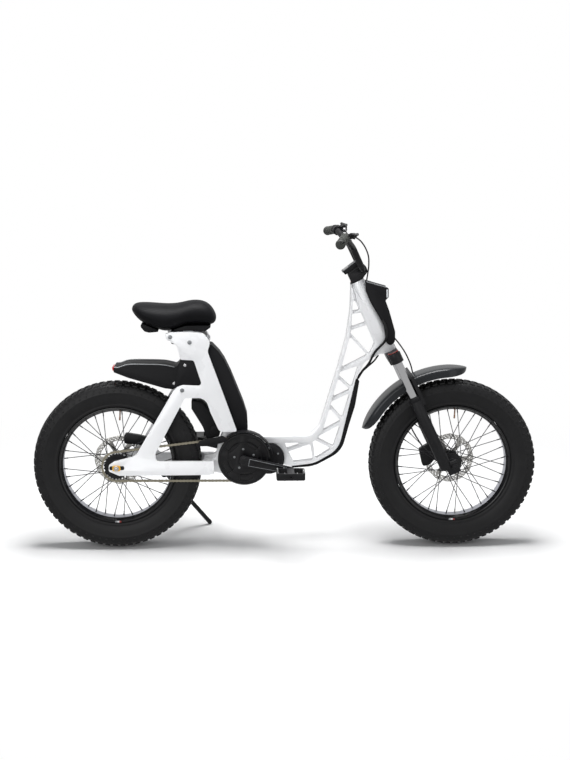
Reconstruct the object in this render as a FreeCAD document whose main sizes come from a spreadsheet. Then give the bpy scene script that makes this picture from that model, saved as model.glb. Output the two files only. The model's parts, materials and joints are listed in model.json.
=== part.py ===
import FreeCAD, Part
import math
import os
from FreeCAD import Placement, Rotation, Vector

# Electric bike with fat tyres, a lattice front frame and a bench saddle, in millimetres.
# It is modelled upright with +X forward, +Y to its left and +Z up, the rear axle over X = 0
# and the ground at Z = 0. Each piece then leans onto the side stand by its Placement.

os.makedirs("parts", exist_ok=True)
doc = FreeCAD.newDocument("ElectricBike")

# Driving sizes: name, value, what it is
SIZES = (
    ("lean_angle", 6.0, "lean to the left on the stand, degrees"),
    ("fit_gap", 0.3, "gap between a piece and what carries it"),
    ("pin_gap", 0.1, "radial running clearance of a small axle in its bore"),
    ("wheelbase", 1202, "rear axle to front axle"),
    ("tyre_radius", 301, "axle to the crown of the tread"),
    ("tyre_width", 98, "tyre section at its widest"),
    ("lug_height", 4, "shoulder lug over the crown of the casing"),
    ("lug_count", 40, "lugs round each shoulder"),
    ("lug_inner", 16, "shoulder lug from the mid plane"),
    ("lug_width", 29, "shoulder lug across"),
    ("rim_radius", 209, "outside of the rim"),
    ("rim_depth", 15, "rim height, outside to the spoke side"),
    ("rim_width", 76, "rim across its flanges"),
    ("rim_bed", 44, "spoke side of the rim, across"),
    ("spoke_count", 36, "spokes in a wheel"),
    ("spoke_width", 2.2, "side of a spoke"),
    ("spoke_lead", 72, "how far round a spoke runs, degrees"),
    ("spoke_seat_y", 9, "spoke at the rim from the mid plane"),
    ("hub_radius", 21, "barrel of a hub"),
    ("flange_radius", 33, "spoke flange of a hub"),
    ("flange_y", 31, "middle of a spoke flange from the mid plane"),
    ("flange_thick", 5, "spoke flange"),
    ("hub_end", 66, "end face of a hub from the mid plane"),
    ("axle_radius", 6, "wheel axle"),
    ("axle_free", 8, "rear axle past its nuts"),
    ("washer_thick", 3, "axle washer"),
    ("nut_thick", 8, "axle nut"),
    ("rotor_radius", 90, "brake rotor"),
    ("rotor_ring", 19, "width of the rotor's braking ring"),
    ("rotor_thick", 2, "rotor"),
    ("rotor_y", 60, "inner face of a rotor from the mid plane"),
    ("caliper_gap", 5, "caliper slot beside the rotor, each side"),
    ("crank_x", 453, "crank axle ahead of the rear axle"),
    ("crank_z", 327, "crank axle over the ground"),
    ("crank_drop", 12, "right crank arm below level, degrees"),
    ("crank_length", 165, "crank axle to pedal axle"),
    ("crank_y", 97, "inner face of a crank arm from the mid plane"),
    ("crank_thick", 13, "crank arm"),
    ("pedal_y", 117, "inner end of a pedal from the mid plane"),
    ("pedal_width", 98, "pedal across"),
    ("pedal_length", 100, "pedal fore and aft"),
    ("pedal_thick", 24, "pedal"),
    ("chain_pitch", 12.7, "chain"),
    ("ring_teeth", 40, "chainring"),
    ("sprocket_teeth", 26, "rear sprocket"),
    ("chain_y", 50, "inner face of the chain from the mid plane"),
    ("chain_width", 8, "chain across its plates"),
    ("chain_height", 8.6, "link plate at a pin"),
    ("chain_waist", 6.4, "link plate between its pins"),
    ("tooth_thick", 3, "sprocket and chainring"),
    ("guard_radius", 94, "disc outside the chainring"),
    ("guard_thick", 4, "disc"),
    ("guard_y", 62, "inner face of the disc"),
    ("cover_gap", 5.5, "chain cover round the disc"),
    ("cover_thick", 3.5, "chain cover"),
    ("plate_y", 72, "inner face of a rear plate"),
    ("plate_thick", 16, "rear plate"),
    ("rail_y", 46, "inner face of a rear plate's front rail"),
    ("lobe_y", 34, "inner face of a rear plate's motor lobe"),
    ("lobe_overlap", 1, "how far a motor lobe and its rail run into each other"),
    ("slot_half", 16, "axle slot, half its straight length"),
    ("motor_radius", 58, "motor round the crank axle"),
    ("motor_nose_x", 541, "front drum of the motor"),
    ("motor_nose_z", 321, "front drum of the motor"),
    ("motor_nose_radius", 56, "front drum of the motor"),
    ("battery_width", 90, "battery across"),
    ("battery_grooves", 14, "grooves down the battery's front"),
    ("seat_width", 196, "saddle across its rear"),
    ("seat_nose", 138, "saddle across its front"),
    ("head_angle", 25, "steering axis from upright, degrees"),
    ("head_x", 855, "top of the head tube on the steering axis"),
    ("head_z", 955, "top of the head tube on the steering axis"),
    ("head_length", 275, "head tube"),
    ("head_radius", 26, "head tube outside"),
    ("steerer_radius", 14.3, "steerer tube"),
    ("web_depth", 34, "lattice struts across"),
    ("chord_depth", 60, "lattice chords across"),
    ("strut_width", 9, "lattice strut seen from the side"),
    ("low_chord", 11, "lower chord seen from the side"),
    ("axle_lead", 30, "front axle ahead of the fork legs"),
    ("fork_y", 95, "fork leg from the mid plane"),
    ("stanchion_radius", 15, "fork stanchion"),
    ("lower_radius", 21, "fork lower leg"),
    ("crown_height", 36, "fork crown"),
    ("fender_radius", 345, "inside of the front fender from the axle"),
    ("fender_wall", 3, "fender wall"),
    ("fender_width", 120, "fender across"),
    ("fender_skirt", 32, "depth of the front fender's sides"),
    ("bracket_sink", 1.5, "rear fender's bracket below the plates' outer faces"),
    ("bar_radius", 11.1, "handlebar"),
    ("grip_radius", 17, "grip"),
    ("grip_length", 128, "grip"),
    ("stand_length", 292, "stand pivot to foot"),
    ("stand_spread", 214, "stand foot to the left of the mid plane"),
    ("stand_x", 160, "stand pivot"),
    ("stand_y", 112, "stand pivot"),
    ("stand_z", 246, "stand pivot"),
    ("stand_radius", 8, "stand leg"),
    ("hose_radius", 2.5, "brake hose"),
    ("cable_radius", 3, "cable under the lower chord"),
)

sheet = doc.addObject("Spreadsheet::Sheet", "Sizes")
for row, (name, number, note) in enumerate(SIZES, start=1):
    sheet.set(f"A{row}", name)
    sheet.set(f"B{row}", str(number))
    sheet.setAlias(f"B{row}", name)
    sheet.set(f"C{row}", note)
doc.recompute()


def size(name):
    return float(sheet.get(name))


def polar(radius, degrees):
    angle = math.radians(degrees)
    return radius * math.cos(angle), radius * math.sin(angle)


# Frames that pieces are modelled in
HEAD = Placement(
    Vector(size("head_x"), 0, size("head_z")),
    Rotation(Vector(0, 1, 0), -size("head_angle")),
)
REAR_AXLE = Placement(Vector(0, 0, size("tyre_radius")), Rotation())
FRONT_AXLE = Placement(Vector(size("wheelbase"), 0, size("tyre_radius")), Rotation())
CRANK = Placement(
    Vector(size("crank_x"), 0, size("crank_z")),
    Rotation(Vector(0, 1, 0), size("crank_drop")),
)
BIKE = Placement()


def pedal_frame(forward):
    centre = CRANK.multVec(Vector(forward * size("crank_length"), 0, 0))
    return Placement(centre, Rotation())


def in_head(x, z):
    # A point of the side view in the frame of the steering axis
    spot = HEAD.inverse().multVec(Vector(x, 0, z))
    return spot.x, spot.z


pieces = []


def keep(feature, frame=BIKE):
    pieces.append((feature, frame))
    return feature


# Sketches and features

PLANES = {"side": "XZ_Plane", "plan": "XY_Plane", "front": "YZ_Plane"}


def body(name):
    return doc.addObject("PartDesign::Body", name)


def sketch(host, plane, offset="0"):
    drawing = host.newObject("Sketcher::SketchObject", "sketch")
    origin = [f for f in host.Origin.OriginFeatures if f.Role == PLANES[plane]][0]
    drawing.AttachmentSupport = [(origin, "")]
    drawing.MapMode = "FlatFace"
    drawing.setExpression(".AttachmentOffset.Base.z", offset)
    return drawing


def rounded(points):
    # Edges of a closed outline. A point is (x, y) or (x, y, corner radius)
    count = len(points)
    corners = []
    for i, point in enumerate(points):
        here = Vector(point[0], point[1], 0)
        radius = point[2] if len(point) > 2 else 0
        if radius == 0:
            corners.append((here, here, here))
            continue
        back = Vector(points[i - 1][0], points[i - 1][1], 0) - here
        ahead = Vector(points[(i + 1) % count][0], points[(i + 1) % count][1], 0) - here
        half = back.getAngle(ahead) / 2
        if half > math.radians(89.8):
            corners.append((here, here, here))
            continue
        reach = min(radius / math.tan(half), 0.48 * back.Length, 0.48 * ahead.Length)
        radius = reach * math.tan(half)
        back.normalize()
        ahead.normalize()
        middle = (back + ahead).normalize()
        top = here + middle * (radius / math.sin(half) - radius)
        corners.append((here + back * reach, top, here + ahead * reach))
    edges = []
    for i, (start, top, end) in enumerate(corners):
        if start != end:
            edges.append(Part.ArcOfCircle(start, top, end))
        follow = corners[(i + 1) % count][0]
        if (follow - end).Length > 1e-6:
            edges.append(Part.LineSegment(end, follow))
    return edges


def outline(drawing, points):
    drawing.addGeometry(rounded(points), False)


def circle(drawing, x, y, radius):
    drawing.addGeometry(Part.Circle(Vector(x, y, 0), Vector(0, 0, 1), radius), False)


def pad(host, drawing, length, middle=False):
    feature = host.newObject("PartDesign::Pad", "pad")
    feature.Profile = drawing
    feature.setExpression("Length", length)
    if middle:
        feature.SideType = "Symmetric"
    return feature


def cut(host, drawing, length, middle=False, back=False):
    feature = host.newObject("PartDesign::Pocket", "cut")
    feature.Profile = drawing
    feature.setExpression("Length", length)
    feature.Reversed = back
    if middle:
        feature.SideType = "Symmetric"
    return feature


def turn(host, drawing, angle="360", groove=False, back=False):
    kind = "PartDesign::Groove" if groove else "PartDesign::Revolution"
    feature = host.newObject(kind, "turn")
    feature.Profile = drawing
    feature.ReferenceAxis = (drawing, ["H_Axis"])
    feature.setExpression("Angle", angle)
    feature.Reversed = back
    return feature


def repeat(host, feature, count):
    pattern = host.newObject("PartDesign::PolarPattern", "repeat")
    pattern.Originals = [feature]
    axis = [f for f in host.Origin.OriginFeatures if f.Role == "Y_Axis"][0]
    pattern.Axis = (axis, [""])
    pattern.Angle = 360
    pattern.setExpression("Occurrences", count)
    host.Tip = pattern
    return pattern


def side_slab(name, points, depth, frame=BIKE, holes=()):
    # A slab across the mid plane, with its outline in the side view
    host = body(name)
    drawing = sketch(host, "side")
    outline(drawing, points)
    for x, z, radius in holes:
        circle(drawing, x, z, radius)
    pad(host, drawing, depth, middle=True)
    keep(host, frame)
    return host


def ring_turned(name, profile, frame):
    # A ring round an axle along Y. The profile holds (y, radius) points
    host = body(name)
    drawing = sketch(host, "front")
    outline(drawing, profile)
    turn(host, drawing)
    keep(host, frame)
    return host


def shape_of(name, shape, frame=BIKE):
    feature = doc.addObject("Part::Feature", name)
    feature.Shape = shape
    keep(feature, frame)
    return feature


def rod(start, end, radius):
    along = end - start
    return Part.makeCylinder(radius, along.Length, start, along)


def bent_tube(route, radius, bend=None):
    # A tube along straight runs that tangent arcs join
    edges = []
    bends = []
    last = route[0]
    for back, here, ahead in zip(route, route[1:], route[2:]):
        to_back = back - here
        to_ahead = ahead - here
        half = to_back.getAngle(to_ahead) / 2
        room = 0.45 * min(to_back.Length, to_ahead.Length)
        reach = min(room, bend / math.tan(half)) if bend else room
        arc_radius = reach * math.tan(half)
        bends.append(round(arc_radius))
        to_back.normalize()
        to_ahead.normalize()
        start = here + to_back * reach
        end = here + to_ahead * reach
        top = here + (to_back + to_ahead).normalize() * (arc_radius / math.sin(half) - arc_radius)
        edges.append(Part.LineSegment(last, start).toShape())
        edges.append(Part.Arc(start, top, end).toShape())
        last = end
    edges.append(Part.LineSegment(last, route[-1]).toShape())
    path = Part.Wire(edges)
    ring = Part.Wire([Part.Circle(route[0], route[1] - route[0], radius).toShape()])
    tube = path.makePipeShell([ring], True, True)
    share = tube.Volume / (math.pi * radius ** 2 * path.Length)
    print(f"tube {path.Length:.0f} mm long, volume over section times length {share:.4f}, bends {bends}")
    return tube


# Wheels

def tyre(name, frame):
    # Casing with a toothed tread band on each shoulder. The bands stand half a lug apart
    host = body(name)
    bead = size("rim_radius") + size("fit_gap")
    tip = size("tyre_radius")
    crown = tip - size("lug_height")
    half = size("tyre_width") / 2
    right = [
        (size("rim_width") / 2 - 3, bead), (half, bead + 0.5 * (crown - bead)), (half - 2, crown - 13),
        (half - 11, crown - 4), (half - 21, crown),
    ]
    left = [(-y, r) for y, r in reversed(right)]
    casing = sketch(host, "front")
    outline(casing, right + left)
    turn(host, casing)
    count = int(size("lug_count"))
    step = 360 / count
    low, high = "Sizes.lug_inner", "Sizes.lug_inner + Sizes.lug_width"
    for side, offset in ((-1, low), (1, f"-({high})")):
        points = []
        for i in range(count):
            start = step * (i + 0.25 * side)
            for share, radius in ((0.0, crown + 0.4), (0.08, tip), (0.5, tip), (0.58, crown + 0.4)):
                points.append(polar(radius, start + share * step))
        band = sketch(host, "side", offset)
        outline(band, points)
        circle(band, 0, 0, crown - 12)
        pad(host, band, "Sizes.lug_width")
    shoulder = sketch(host, "front")
    for side in (-1, 1):
        outline(shoulder, [
            (side * (half - 12), tip + 1), (side * (half + 1), tip + 1), (side * (half + 1), crown - 10),
        ])
    turn(host, shoulder, groove=True)
    keep(host, frame)


def rim(name, frame):
    outer = size("rim_radius")
    inner = outer - size("rim_depth")
    wide = size("rim_width") / 2
    bed = size("rim_bed") / 2
    profile = [(wide, outer), (wide, outer - 6), (bed, inner), (-bed, inner), (-wide, outer - 6), (-wide, outer)]
    ring_turned(name, profile, frame)


def spokes(name, frame):
    # Half of the spokes lead and half trail, from the two flanges to the spoke side of the rim
    width = size("spoke_width")
    flange = size("flange_radius") + size("fit_gap") + 0.75 * width
    reach = size("rim_radius") - size("rim_depth") - size("fit_gap") - width / 2
    count = int(size("spoke_count"))
    wires = []
    for i in range(count):
        side = 1 if i % 2 else -1
        lead = 1 if i % 4 < 2 else -1
        at_rim = 360 * (i + 0.5) / count
        at_hub = at_rim - lead * size("spoke_lead")
        hub_x, hub_z = polar(flange, at_hub)
        rim_x, rim_z = polar(reach, at_rim)
        aside = lead * size("flange_thick") / 2
        start = Vector(hub_x, side * (size("flange_y") + aside), hub_z)
        end = Vector(rim_x, side * (size("spoke_seat_y") + aside), rim_z)
        along = end - start
        wire = Part.makeBox(width, width, along.Length, Vector(-width / 2, -width / 2, 0))
        wire.Placement = Placement(start, Rotation(Vector(0, 0, 1), along))
        wires.append(wire)
    shape_of(name, Part.makeCompound(wires), frame)


def hub(name, frame):
    bore = size("axle_radius") + size("pin_gap")
    barrel = size("hub_radius")
    flange = size("flange_radius")
    inner = size("flange_y") - size("flange_thick") / 2
    outer = size("flange_y") + size("flange_thick") / 2
    end = size("hub_end")
    seat = size("rotor_y")
    right = [
        (end, bore), (end, bore + 6), (seat, bore + 6), (seat, barrel), (outer, barrel),
        (outer, flange), (inner, flange), (inner, barrel - 2),
    ]
    left = [(-y, r) for y, r in reversed(right)]
    ring_turned(name, right + left, frame)


def rotor(name, frame):
    host = body(name)
    drawing = sketch(host, "side", "-Sizes.rotor_y - Sizes.rotor_thick - Sizes.fit_gap")
    circle(drawing, 0, 0, size("rotor_radius"))
    circle(drawing, 0, 0, size("axle_radius") + 6.5)
    pad(host, drawing, "Sizes.rotor_thick")
    windows = sketch(host, "side", "-Sizes.rotor_y - Sizes.rotor_thick - Sizes.fit_gap")
    inner = size("hub_radius") + 6
    outer = size("rotor_radius") - size("rotor_ring")
    spread = 21
    outline(windows, [
        (*polar(inner, -spread), 3), (*polar(outer, -spread), 4), (outer * 1.02, 0),
        (*polar(outer, spread), 4), (*polar(inner, spread), 3),
    ])
    window = cut(host, windows, "3 * Sizes.rotor_thick", middle=True)
    repeat(host, window, "6")
    keep(host, frame)


def wheel(end, frame):
    tyre(f"{end}_tyre", frame)
    rim(f"{end}_rim", frame)
    spokes(f"{end}_spokes", frame)
    hub(f"{end}_hub", frame)
    rotor(f"{end}_rotor", frame)


# Chain drive. Sprockets run inside the chain loop

def pitch_radius(teeth):
    return size("chain_pitch") / (2 * math.sin(math.pi / size(teeth)))


def belt(offset):
    # Closed loop round the crank and the rear axle, moved outwards by an offset
    big = pitch_radius("ring_teeth") + offset
    small = pitch_radius("sprocket_teeth") + offset
    front = Vector(size("crank_x"), size("crank_z"), 0)
    rear = Vector(0, size("tyre_radius"), 0)
    gap = front - rear
    level = math.degrees(math.atan2(gap.y, gap.x))
    open_angle = math.degrees(math.acos((small - big) / gap.Length))

    def at(centre, radius, degrees):
        x, y = polar(radius, degrees)
        return centre + Vector(x, y, 0)

    top_front = at(front, big, level + open_angle)
    low_front = at(front, big, level - open_angle)
    top_rear = at(rear, small, level + open_angle)
    low_rear = at(rear, small, level - open_angle)
    return [
        Part.LineSegment(top_rear, top_front),
        Part.ArcOfCircle(top_front, at(front, big, level), low_front),
        Part.LineSegment(low_front, low_rear),
        Part.ArcOfCircle(low_rear, at(rear, small, level + 180), top_rear),
    ]


def chain():
    # Link plates side by side along the loop, high at the pins and waisted between them
    host = body("chain")
    loop = Part.Wire([edge.toShape() for edge in belt(0)])
    count = 4 * round(loop.Length / size("chain_pitch") / 2)
    spots = loop.discretize(Number=count + 1)[:count]
    drawing = sketch(host, "side", "Sizes.chain_y")
    for way in (1, -1):
        points = []
        for i, spot in enumerate(spots):
            along = spots[(i + 1) % count] - spots[i - 1]
            across = Vector(-along.y, along.x, 0).normalize()
            half = size("chain_waist" if i % 2 else "chain_height") / 2
            edge = spot + across * (way * half)
            points.append((edge.x, edge.y))
        outline(drawing, points)
    pad(host, drawing, "Sizes.chain_width")
    keep(host)


def toothed(name, teeth, bore, frame):
    # Tooth tips stay under the chain's rollers
    host = body(name)
    tip = pitch_radius(teeth) - size("chain_height") / 2 - 0.4
    root = tip - 3.4
    count = int(size(teeth))
    points = []
    for i in range(count):
        start = 360 * i / count
        for share, radius in ((0.0, root), (0.3, root), (0.5, tip), (0.8, tip)):
            points.append(polar(radius, start + share * 360 / count))
    drawing = sketch(host, "side", "Sizes.chain_y + (Sizes.chain_width - Sizes.tooth_thick) / 2")
    outline(drawing, points)
    circle(drawing, 0, 0, bore)
    pad(host, drawing, "Sizes.tooth_thick")
    keep(host, frame)


def crank_set():
    toothed("chainring", "ring_teeth", 22, CRANK)
    host = body("guard_disc")
    drawing = sketch(host, "side", "Sizes.guard_y")
    circle(drawing, 0, 0, size("guard_radius"))
    circle(drawing, 0, 0, 13.3)
    pad(host, drawing, "Sizes.guard_thick")
    spacer = sketch(host, "side", "Sizes.chain_y + (Sizes.chain_width + Sizes.tooth_thick) / 2 + Sizes.fit_gap")
    circle(spacer, 0, 0, 40)
    circle(spacer, 0, 0, 30)
    pad(host, spacer, "Sizes.guard_y - Sizes.chain_y - (Sizes.chain_width + Sizes.tooth_thick) / 2 - Sizes.fit_gap")
    slots = sketch(host, "side", "Sizes.guard_y")
    outline(slots, [
        (*polar(52, -22), 5), (*polar(78, -20), 6), (82, 0), (*polar(78, 20), 6), (*polar(52, 22), 5), (48, 0),
    ])
    slot = cut(host, slots, "2 * Sizes.guard_thick", middle=True)
    repeat(host, slot, "5")
    keep(host, CRANK)
    crank_arms()


def crank_arms():
    # One spindle with an arm each side, the right one forward
    outer = size("crank_y") + size("crank_thick")
    spindle = rod(Vector(0, -outer, 0), Vector(0, outer, 0), 13)
    boss = size("crank_y") - 3
    arms = [spindle]
    for side in (-1, 1):
        forward = -side
        inner = side * size("crank_y")
        face = [
            (-17 * forward, -19, 12), (-17 * forward, 19, 12), (forward * 30, 17, 20),
            (forward * (size("crank_length") + 15), 13, 12), (forward * (size("crank_length") + 15), -13, 12),
            (forward * 30, -17, 20),
        ]
        flat = Part.Wire([edge.toShape() for edge in rounded(face)])
        arm = Part.Face(flat).extrude(Vector(0, 0, size("crank_thick")))
        arm.Placement = Placement(Vector(0, inner, 0), Rotation(Vector(1, 0, 0), 90))
        if side > 0:
            arm.translate(Vector(0, size("crank_thick"), 0))
        channel = [
            (forward * 34, -8, 7), (forward * 34, 8, 7), (forward * (size("crank_length") - 24), 6, 5),
            (forward * (size("crank_length") - 24), -6, 5),
        ]
        recess = Part.Face(Part.Wire([edge.toShape() for edge in rounded(channel)])).extrude(Vector(0, 0, 12))
        recess.Placement = Placement(
            Vector(0, side * (outer - 3) + (12 if side > 0 else 0), 0), Rotation(Vector(1, 0, 0), 90))
        arms.append(arm.cut(recess))
        pin = rod(
            Vector(forward * size("crank_length"), side * boss, 0),
            Vector(forward * size("crank_length"), side * (size("pedal_y") + size("pedal_width") - 6), 0),
            size("axle_radius") - 1,
        )
        arms.append(pin)
    whole = arms[0].fuse(arms[1:])
    shape_of("crank_arms", whole.removeSplitter(), CRANK)


def pedal(name, side):
    host = body(name)
    centre = size("pedal_y") + size("pedal_width") / 2
    frame = pedal_frame(-side)
    half_long = size("pedal_length") / 2
    half_wide = size("pedal_width") / 2
    drawing = sketch(host, "plan")
    middle = side * centre
    outline(drawing, [
        (-half_long, middle - half_wide, 14), (half_long, middle - half_wide, 14),
        (half_long, middle + half_wide, 14), (-half_long, middle + half_wide, 14),
    ])
    for ahead in (-1, 1):
        outline(drawing, [
            (ahead * (half_long - 9), middle - half_wide + 9, 6), (ahead * (half_long - 9), middle + half_wide - 9, 6),
            (ahead * 13, middle + half_wide - 9, 6), (ahead * 13, middle - half_wide + 9, 6),
        ])
    pad(host, drawing, "Sizes.pedal_thick", middle=True)
    bore = sketch(host, "side")
    circle(bore, 0, 0, size("axle_radius") - 1 + size("pin_gap"))
    cut(host, bore, "2 * (Sizes.pedal_y + Sizes.pedal_width)", middle=True)
    keep(host, frame)


def chain_cover():
    # A hoop round the disc with a tail that runs back along the chain
    host = body("chain_cover")
    centre = (size("crank_x"), size("crank_z"))
    inner = size("guard_radius") + size("cover_gap")
    outer = inner + size("cover_thick")
    arc_from, arc_to = 12, 128
    hoop = sketch(host, "side", "Sizes.rail_y + Sizes.lobe_overlap + Sizes.fit_gap")
    spots = [(outer, arc_from), (outer, (arc_from + arc_to) / 2), (outer, arc_to)]
    back = [(inner, arc_to), (inner, (arc_from + arc_to) / 2), (inner, arc_from)]
    top = [Vector(centre[0] + polar(r, a)[0], centre[1] + polar(r, a)[1], 0) for r, a in spots]
    low = [Vector(centre[0] + polar(r, a)[0], centre[1] + polar(r, a)[1], 0) for r, a in back]
    hoop.addGeometry([
        Part.ArcOfCircle(*top), Part.LineSegment(top[2], low[0]),
        Part.ArcOfCircle(*low), Part.LineSegment(low[2], top[0]),
    ], False)
    pad(host, hoop, "Sizes.plate_y + Sizes.plate_thick + Sizes.cover_thick - Sizes.rail_y - Sizes.lobe_overlap")
    tail = sketch(host, "side", "Sizes.plate_y + Sizes.plate_thick + Sizes.fit_gap")
    outline(tail, [
        (286, 388, 3), (296, 399, 8), (377, 418, 30), (top[2].x, top[2].y), (low[0].x, low[0].y),
        (396, 398, 20), (335, 380, 20), (286, 379, 3),
    ])
    pad(host, tail, "Sizes.cover_thick")
    keep(host)


# Frame

LATTICE = {
    # Upper chord, inner edge
    "a0": (592, 376), "a2": (694, 376), "a3": (713, 387), "a4": (730, 410),
    "a5": (760, 507), "a6": (768, 531), "a7": (790, 613), "a8": (799, 638), "a9": (831, 765),
    "a10": (835, 787), "a11": (838, 845), "top": (838, 905),
    # Lower chord, middle
    "m0": (604, 346), "b0": (628, 298), "b1": (706, 307), "b2": (777, 352), "b3": (808, 452),
    "b4": (841, 566), "b5": (870, 662), "b6": (900, 690),
    # Rear edge of the head panel
    "c0": (918, 735), "c1": (888, 805), "c2": (868, 848),
}

# One window a row: its corners in order, each with the kind of side that follows it
WINDOWS = (
    (("a0", "edge"), ("a2", "strut"), ("m0", "strut")),
    (("m0", "strut"), ("a2", "strut"), ("b1", "low"), ("b0", "strut")),
    (("a2", "edge"), ("a3", "strut"), ("b2", "low"), ("b1", "strut")),
    (("a3", "edge"), ("a4", "strut"), ("b3", "low"), ("b2", "strut")),
    (("a4", "edge"), ("a5", "strut"), ("b3", "strut")),
    (("a5", "edge"), ("a6", "strut"), ("b4", "low"), ("b3", "strut")),
    (("a6", "edge"), ("a7", "strut"), ("b4", "strut")),
    (("a7", "edge"), ("a8", "strut"), ("b5", "low"), ("b4", "strut")),
    (("a8", "edge"), ("a9", "strut"), ("b6", "strut")),
    (("a9", "edge"), ("a10", "strut"), ("c1", "edge"), ("c0", "edge"), ("b6", "strut")),
    (("a10", "edge"), ("a11", "strut"), ("c2", "edge"), ("c1", "strut")),
    (("a11", "edge"), ("top", "edge"), ("c2", "strut")),
)


def inset(corners):
    # The window's outline, each side moved in by half of the bar that it borders
    moved = {"edge": 0, "strut": size("strut_width") / 2, "low": size("low_chord") / 2}
    spots = [Vector(*LATTICE[name], 0) for name, kind in corners]
    middle = sum(spots, Vector()) / len(spots)
    lines = []
    for i, (name, kind) in enumerate(corners):
        start = spots[i]
        along = (spots[(i + 1) % len(spots)] - start).normalize()
        inward = Vector(-along.y, along.x, 0)
        if inward.dot(middle - start) < 0:
            inward = inward * -1
        lines.append((start + inward * moved[kind], along))
    points = []
    for i in range(len(lines)):
        (p, d), (q, e) = lines[i - 1], lines[i]
        share = ((q - p).x * e.y - (q - p).y * e.x) / (d.x * e.y - d.y * e.x)
        spot = p + d * share
        points.append((spot.x, spot.y, 6))
    return points


def motor_outline(clearance):
    # Two drums and the flat sides that join them
    x, z, r = size("crank_x"), size("crank_z"), size("motor_radius") + clearance
    nose_x, nose_z, nose_r = size("motor_nose_x"), size("motor_nose_z"), size("motor_nose_radius") + clearance
    gap = Vector(nose_x - x, nose_z - z, 0)
    level = math.degrees(math.atan2(gap.y, gap.x))
    spread = math.degrees(math.acos((nose_r - r) / gap.Length))
    spots = []
    for centre_x, centre_z, radius, angles in (
        (x, z, r, (level + spread, level + 180, level - spread)),
        (nose_x, nose_z, nose_r, (level - spread, level, level + spread)),
    ):
        for angle in angles:
            reach = polar(radius, angle)
            spots.append(Vector(centre_x + reach[0], centre_z + reach[1], 0))
    return [
        Part.ArcOfCircle(spots[0], spots[1], spots[2]), Part.LineSegment(spots[2], spots[3]),
        Part.ArcOfCircle(spots[3], spots[4], spots[5]), Part.LineSegment(spots[5], spots[0]),
    ]


def front_frame():
    host = body("front_frame")
    rear_end = size("crank_x") - 25
    shelf = 418 - size("fit_gap")
    lip = HEAD.multVec(Vector(-size("head_radius"), 0, 0))
    low_front = HEAD.multVec(Vector(0, 0, -size("head_length")))
    web = sketch(host, "side")
    outline(web, [
        (rear_end, shelf, 4), (470, shelf, 10), (506, 401, 40), (690, 402, 34), (724, 436, 60), (786, 643, 300),
        (818, 760, 200), (831, 858, 100), (lip.x + 2, lip.z), (low_front.x, low_front.z + 30),
        (948, 700, 8), (884, 668, 40), (852, 606, 60), (818, 462, 200), (792, 350, 90), (704, 300, 120),
        (618, 290, 10), (585, 300, 10), (560, 360, 20), (470, 392, 10), (rear_end, 396, 4),
    ])
    pad(host, web, "Sizes.web_depth", middle=True)
    chord = sketch(host, "side")
    outline(chord, [
        (rear_end, shelf, 4), (470, shelf, 10), (506, 401, 40), (690, 402, 34), (724, 436, 60), (786, 643, 300),
        (818, 760, 200), (831, 858, 100), (lip.x + 2, lip.z), (846, 905), (840, 858, 100), (828, 755, 200),
        (798, 643, 300), (737, 430, 60), (698, 377, 34), (506, 378, 40), (470, 396, 10), (rear_end, 398, 4),
    ])
    pad(host, chord, "Sizes.chord_depth", middle=True)
    panel = sketch(host, "side")
    outline(panel, [
        (lip.x + 4, lip.z), (low_front.x, low_front.z + 20), (948, 698, 8), (906, 700, 10), (922, 735, 30),
        (892, 805, 60), (866, 860, 40), (850, 905, 20),
    ])
    pad(host, panel, "Sizes.chord_depth - 8", middle=True)
    tube = host.newObject("PartDesign::AdditiveCylinder", "head_tube")
    tube.setExpression("Radius", "Sizes.head_radius")
    tube.setExpression("Height", "Sizes.head_length")
    tube.Placement = HEAD * Placement(Vector(0, 0, -size("head_length")), Rotation())
    lattice = sketch(host, "side")
    for corners in WINDOWS:
        outline(lattice, inset(corners))
    cut(host, lattice, "3 * Sizes.chord_depth", middle=True)
    cradle = sketch(host, "side")
    cradle.addGeometry(motor_outline(size("fit_gap")), False)
    cut(host, cradle, "3 * Sizes.chord_depth", middle=True)
    bore = host.newObject("PartDesign::SubtractiveCylinder", "steerer_bore")
    bore.setExpression("Radius", "Sizes.steerer_radius + Sizes.fit_gap")
    bore.setExpression("Height", "2 * Sizes.head_length")
    bore.Placement = HEAD * Placement(Vector(0, 0, -1.5 * size("head_length")), Rotation())
    keep(host)


PLATE_FRONT = ((335, 748, 20), (325, 716, 30), (362, 614, 60))
# Where the rear fender's bracket sits in a rear plate, from the stay up to the mast
BRACKET_NOTCH = ((204, 577, 8), (216, 591, 10), (238, 599, 16), (306, 596, 10), (277, 686, 10), (230, 689, 6))


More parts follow.
